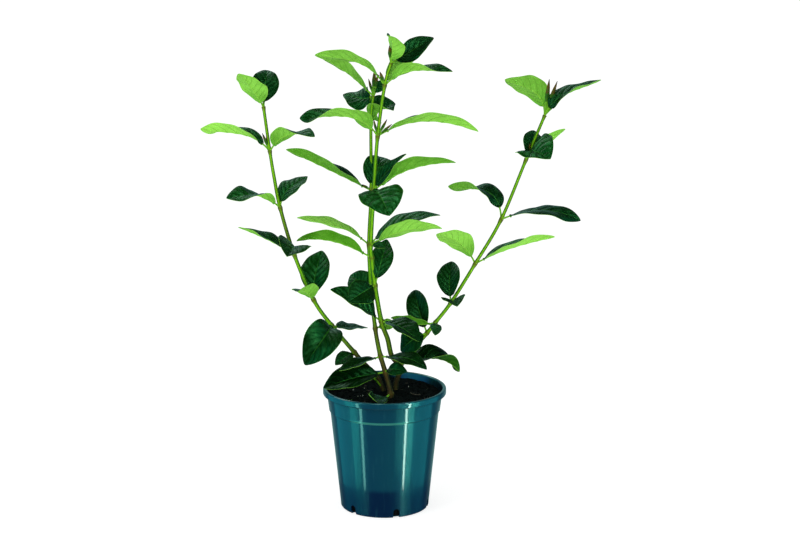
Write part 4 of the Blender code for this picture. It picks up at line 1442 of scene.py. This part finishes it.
def leaf_surfaces(root, leaf, phase, rows):
    """Top and underside of a leaf: a round stalk that opens into a thin blade with a raised midrib."""
    surface, along, half = blade(root, leaf, phase, rows)
    normals = unit(np.cross(np.gradient(surface, axis=0), np.gradient(surface, axis=1)))
    across = np.broadcast_to(COLUMNS[None, :], along.shape)
    stalk_half = np.where(along < STALK_END, np.maximum(half, PETIOLE_RADIUS), PETIOLE_RADIUS)
    round_stalk = stalk_half * np.sqrt(np.maximum(1.0 - across**2, STALK_ROUND))
    thin = BLADE_THICKNESS[0] - BLADE_THICKNESS[1] * across**2
    opened = rise_over(along, *SKIN_OPENS)
    thickness = round_stalk * (1.0 - opened) + thin * opened
    rib_width = RIB_WIDTHS[0] + RIB_WIDTHS[1] * (1.0 - along)
    rib = np.exp(-((across * half / rib_width) ** 2)) * opened * (1.0 - RIB_TAPER * along)
    top = surface + normals * (thickness - RIB_SUNK * rib)[..., None]
    under = surface - normals * (thickness + RIB_RAISED * rib)[..., None]
    return top, under, along, across


def leaf_grid(count_rows, count_columns):
    """Faces of a closed leaf: the top grid, the underside grid and the rim that joins them."""
    index = np.arange(count_rows * count_columns).reshape(count_rows, count_columns)
    a, b, c, d = index[:-1, :-1], index[:-1, 1:], index[1:, :-1], index[1:, 1:]
    top = np.stack([a, c, d, b], -1).reshape(-1, 4)
    below = index.size
    under = np.stack([a, b, d, c], -1).reshape(-1, 4) + below
    loop = list(index[0]) + list(index[1:, -1]) + list(index[-1, -2::-1]) + list(index[-2:0:-1, 0])
    after = loop[1:] + loop[:1]
    rim = np.array([(here, beyond, below + beyond, below + here) for here, beyond in zip(loop, after)])
    return top, under, rim


print("a leaf of 20 rows has", sum(len(grid) for grid in leaf_grid(20, len(COLUMNS))), "faces")

# %% [markdown]
# The glossy top is a deep bottle green. It is not mirror smooth: the side veins are sunk, so light runs
# in bands between them, and a paler painted sheen lies on the bulges between them. A thin cuticle makes
# it shine at a glance, which is a low roughness with a modest mirror strength, and its mirror colour is
# greenish. The underside is a light yellow green with raised veins and no gloss. Both carry the same
# green stalk and a pale, thin margin. No two leaves are equally light, partly in their own colour and
# partly in painted light and shade, so each one has a tone from 0 to 1, and a leaf in deep shade a tone
# below 0, which paints its deep shade.

# %% Finishes of the leaves
STALK_GREEN = colour(0.20, 0.52, 0.020)


def finish_leaf(name, greens, marks, depth, **sockets):
    """A leaf's skin. greens names its colours, and marks how wide the veins are and how much each shows."""
    material, tree, shader = new_material(name, **sockets)
    along = on_mesh(tree, "along")
    leaf_tone_and_light = on_mesh(tree, "tone")
    veins = use_group(leaf_veins, Along=along, Across=on_mesh(tree, "across"), Width=marks["width"])
    tone = uneven(object_place(tree), 0.011, 1.5)

    # The leaf's tone counts most, and is partly its own colour and partly painted light and shade. It is
    # darker near the stalk, and below 0 it is painted deep shade.
    light = calc("MULTIPLY_ADD", leaf_tone_and_light, 0.70, times(tone["Tone"], 0.30))
    light = times(light, ease(along, 0.0, 0.45, 0.45, 1.0))
    green = blend(light, greens["deep"], greens["light"])
    green = blend(ease(leaf_tone_and_light, -0.2, -0.6, 0.0, 0.9), green, greens["shaded"])
    # The dome colour on the bulges between the veins is a painted sheen on the top, and the bulges' own
    # tone on the underside.
    domes_and_sheen = times(ease(veins["Domes"], 0.30, 1.0), ease(tone["Tone"], 0.30, 0.75))
    shown = calc("MULTIPLY_ADD", leaf_tone_and_light, 0.88 * marks["domes"], 0.12 * marks["domes"])
    green = blend(times(domes_and_sheen, shown), green, greens["dome"])
    for mark, vein_colour in (("Net", "vein"), ("Veins", "vein"), ("Midrib", "rib"), ("Margin", "margin")):
        green = blend(times(veins[mark], marks[mark]), green, greens[vein_colour])
    green = blend(ease(along, 0.015, -0.005), green, STALK_GREEN)

    # Veins are sunk where depth is positive and raised where it is negative.
    relief = calc("MULTIPLY_ADD", veins["Net"], -0.20 * depth, times(tone["Fine"], 0.10))
    relief = calc("MULTIPLY_ADD", veins["Veins"], -0.6 * depth, relief)
    relief = calc("MULTIPLY_ADD", veins["Domes"], 0.5 * depth, relief)
    relief = times(relief, ease(leaf_tone_and_light, -0.2, 0.4, 0.35, 1.0))
    rough = calc("MULTIPLY_ADD", tone["Fine"], 0.12, sockets["Roughness"] - 0.06)
    fill(shader.inputs, {"Base Color": green, "Roughness": rough})
    emboss(shader, relief, 0.55, 0.0010)
    return material


leaf_top = finish_leaf(
    "leaf_top",
    {
        "deep": colour(0.0002, 0.006, 0.0010),
        "light": colour(0.0018, 0.052, 0.003),
        "shaded": colour(0.0002, 0.005, 0.0012),
        # On the top, the dome colour is a painted sheen.
        "dome": colour(0.030, 0.185, 0.052),
        "vein": colour(0.003, 0.045, 0.004),
        "rib": colour(0.035, 0.190, 0.022),
        "margin": colour(0.045, 0.200, 0.020),
    },
    {"width": 0.10, "domes": 0.80, "Net": 0.03, "Veins": 0.50, "Midrib": 0.70, "Margin": 0.5},
    1.0,
    Roughness=0.24,
    Specular_IOR_Level=0.20,
    Specular_Tint=colour(0.25, 1.0, 0.30),
)
leaf_under = finish_leaf(
    "leaf_underside",
    {
        "deep": colour(0.065, 0.310, 0.004),
        "light": colour(0.400, 0.950, 0.115),
        "shaded": colour(0.006, 0.080, 0.001),
        "dome": colour(0.340, 0.860, 0.110),
        "vein": colour(0.080, 0.330, 0.010),
        "rib": colour(0.300, 0.680, 0.060),
        "margin": colour(0.330, 0.650, 0.090),
    },
    {"width": 0.09, "domes": 0.25, "Net": 0.16, "Veins": 0.42, "Midrib": 0.60, "Margin": 0.5},
    -1.0,
    Roughness=0.55,
    Specular_IOR_Level=0.22,
    Specular_Tint=colour(0.60, 1.0, 0.40),
)
print("finishes:", leaf_top.name, leaf_under.name)

# %% [markdown]
# The leaves of a stem become one mesh, because they share two finishes, and so do the branch's. Leaves
# whose lightness shows well have a known tone, by their place in the list, and the others draw one.
# A known tone is partly the leaf's own colour and partly painted light and shade.

# %% Grow the leaves
BLADE_ROWS = 50
SMALL_ROWS = 26
SMALL_LEAF = 0.045
PHASE_STEP = 2.4
OTHER_TONES = (0.1, 0.8)
# Each known tone is partly the leaf's own colour and partly painted light and shade; below 0 it paints deep
# shade.
KNOWN_TONES_AND_LIGHT = {
    "left_leaves": {0: 0.7, 2: 1.0, 3: 0.6, 4: 0.8, 5: 0.7, 8: 0.65, 9: 0.6, 10: 0.1, 11: 0.1, 12: 0.1},
    "centre_leaves": {0: 0.3, 1: -0.2, 2: 0.0, 3: -0.1, 4: -0.1, 7: 1.0, 8: 0.95, 10: 0.05, 12: 0.5},
    "trunk_leaves": {
        1: 0.0, 3: 0.0, 4: -0.1, 5: 0.85, 8: 0.1, 9: 1.0,
        10: 0.7, 11: 0.75, 12: 0.6, 13: 0.7, 15: 0.7, 16: 0.0,
    },
    "branch_leaves": {0: 0.5, 2: 1.0, 5: 0.25, 6: 0.1, 7: 1.0, 8: 1.0, 11: 0.0, 12: 0.0, 14: 0.0, 15: -0.6},
}


def grow_leaves(name, stem, leaves, first, node_name, seed):
    """All leaves of a stem in one mesh, with their shares and their tone on each point; the tone is partly
    their own colour and partly painted light and shade.
    """
    draw = np.random.default_rng(seed)
    points, faces, finishes, alongs, acrosses, tones = [], [], [], [], [], []
    start = 0
    for index, leaf in enumerate(leaves):
        on_shoot = leaf[0] == "shoot"
        place = LOW_SHOOT[-1] if on_shoot else stem[leaf[0]]
        rows = SMALL_ROWS if np.linalg.norm(leaf[1]) * MM < SMALL_LEAF else BLADE_ROWS
        phase = 0.0 if on_shoot else PHASE_STEP * (first + index)
        top, under, along, across = leaf_surfaces(np.array(place) * MM, leaf, phase, rows)
        grids = leaf_grid(*along.shape)
        points += [top.reshape(-1, 3), under.reshape(-1, 3)]
        faces += [grid + start for grid in grids]
        finishes += [np.zeros(len(grids[0])), np.ones(len(grids[1]) + len(grids[2]))]
        alongs += [along.ravel()] * 2
        acrosses += [across.ravel()] * 2
        tones.append(np.full(2 * along.size, KNOWN_TONES_AND_LIGHT[name].get(index, draw.uniform(*OTHER_TONES))))
        start += 2 * along.size
    mesh = to_mesh(name, np.concatenate(points), np.concatenate(faces).tolist())
    for key, values in (("along", alongs), ("across", acrosses), ("tone", tones)):
        carry(mesh, key, np.concatenate(values))
    piece = new_piece(name, mesh, [leaf_top, leaf_under], "laurustinus_green", node_name)
    mesh.polygons.foreach_set("material_index", np.concatenate(finishes).astype(np.int32))
    smooth(piece, 55)
    print(name, "has", len(leaves), "leaves and", len(mesh.polygons), "faces")


grow_leaves("left_leaves", LEFT_STEM, LEFT_LEAVES, 0, "left_stem", 3)
grow_leaves("centre_leaves", CENTRE_STEM, CENTRE_LEAVES, 0, "centre_stem", 4)
grow_leaves("trunk_leaves", TRUNK, TRUNK_LEAVES, 0, "forked_stem", 5)
grow_leaves("branch_leaves", BRANCH, BRANCH_LEAVES, len(TRUNK_LEAVES), "forked_stem", 6)

# %% [markdown]
# ## The young leaves
# At the top of each stem the next leaves are still folded: narrow spindles on thin stalks, green at the
# foot and brown towards a dark point. Each is a bar with the outline of the solid's bud and an open
# groove along one side, where its two halves meet.

# %% Shape of a folded young leaf: ring, reach and width of each
BUD_SHAPE = ((-0.03, 0.42), (0.3, 0.62), (0.55, 1.0), (0.8, 0.66), (0.93, 0.3), (1.0, 0.10))
LEFT_BUDS = (("n5", (-9, -4, 24), 4.1), ("n5", (-4, -2, 23), 4.1), ("n6", (1, 1, 14), 4.3))
CENTRE_BUDS = (
    ("n5", (-11, -3, 8), 3.5),
    ("n7", (-6, 0, 22), 3.8),
    ("n7", (2, 1, 34), 5.9),
    ("n7", (6, -2, 28), 4.9),
)
TRUNK_BUDS = (
    ("n6", (12, -3, 22), 4.1),
    ("n6", (18, -4, 16), 3.8),
    ("n6", (-5, -3, 22), 3.8),
    ("n7", (-6, -4, 18), 4.9),
    ("n8", (-2, -2, 22), 6.2),
)
BRANCH_BUDS = (
    ("n5", (5, -3, 22), 4.1),
    ("n6", (5, 0, 46), 6.2),
    ("n6", (15, -3, 44), 5.9),
    ("n6", (18, -2, 22), 4.6),
)
BUD_SIDES = 16
BUD_STEPS = 22
GROOVE_WIDTH = 0.42
GROOVE_SUNK = 0.45
BUD_FLAT = 0.86


def folded_leaf(root, reach, width, turn):
    """Points, faces and the share along of one folded young leaf."""
    shares, widths = np.array(BUD_SHAPE).T
    share = np.linspace(shares[0], 1.0, BUD_STEPS)
    half = np.interp(share, shares, widths) * width * MM / 2
    half = np.convolve(np.pad(half, 1, "edge"), (0.25, 0.5, 0.25), "valid")
    line = np.array(root) * MM + np.array(reach) * MM * share[:, None]
    angles = np.arange(BUD_SIDES) * math.tau / BUD_SIDES
    gap = np.abs((angles - turn + math.pi) % math.tau - math.pi)
    opened = rise_over(share, 0.30, 0.50)[:, None]
    grooved = 1.0 - GROOVE_SUNK * np.exp(-((gap / GROOVE_WIDTH) ** 2)) * opened
    points, faces = tube(line, half[:, None] * grooved, BUD_SIDES, BUD_FLAT)
    return points, faces, np.repeat(share, BUD_SIDES)


print("folded leaves:", [len(buds) for buds in (LEFT_BUDS, CENTRE_BUDS, TRUNK_BUDS, BRANCH_BUDS)])

# %% [markdown]
# One number along the young leaf carries its colour from green through olive brown to nearly black, and
# noise pushes that number to and fro, so that the colours meet unevenly.

# %% Finish of the young leaves
FRESH_GREEN = colour(0.14, 0.42, 0.018)
DULL_GREEN = colour(0.024, 0.120, 0.006)
OLIVE_BROWN = colour(0.105, 0.070, 0.008)
POINT_BLACK = colour(0.012, 0.012, 0.010)


def finish_young_leaf():
    material, tree, shader = new_material("young_leaf", Roughness=0.5, Specular_IOR_Level=0.08)
    tone = uneven(object_place(tree), 0.004, 1.8)
    patchy = calc("SUBTRACT", tone["Tone"], 0.5)
    aged = calc("MULTIPLY_ADD", patchy, 0.35, on_mesh(tree, "along"))
    skin = blend(ease(aged, 0.25, 0.50), FRESH_GREEN, DULL_GREEN)
    skin = blend(ease(aged, 0.55, 0.80), skin, OLIVE_BROWN)
    skin = blend(ease(aged, 0.85, 1.0), skin, POINT_BLACK)
    fill(shader.inputs, {"Base Color": skin})
    emboss(shader, tone["Fine"], 0.4, 0.0003)
    return material


young_leaf = finish_young_leaf()
print("finish:", young_leaf.name)

# %% [markdown]
# The young leaves of a stem are one mesh too. Each is turned a little further than the one before, so
# that their grooves don't all face the same way.

# %% Grow the folded young leaves
FIRST_TURN = 4.3
TURN_STEP = 1.1


def grow_young(name, sets, node_name):
    shapes, alongs = [], []
    for stem, buds in sets:
        for index, (ring, reach, width) in enumerate(buds):
            points, faces, along = folded_leaf(stem[ring], reach, width, FIRST_TURN + TURN_STEP * index)
            shapes.append((points, faces))
            alongs.append(along)
    mesh = to_mesh(name, *joined(shapes))
    carry(mesh, "along", np.concatenate(alongs))
    piece = new_piece(name, mesh, [young_leaf], "laurustinus_green", node_name)
    smooth(piece, 60)
    print(name, "has", len(shapes), "folded leaves")


grow_young("left_young_leaves", [(LEFT_STEM, LEFT_BUDS)], "left_stem")
grow_young("centre_young_leaves", [(CENTRE_STEM, CENTRE_BUDS)], "centre_stem")
grow_young("forked_young_leaves", [(TRUNK, TRUNK_BUDS), (BRANCH, BRANCH_BUDS)], "forked_stem")
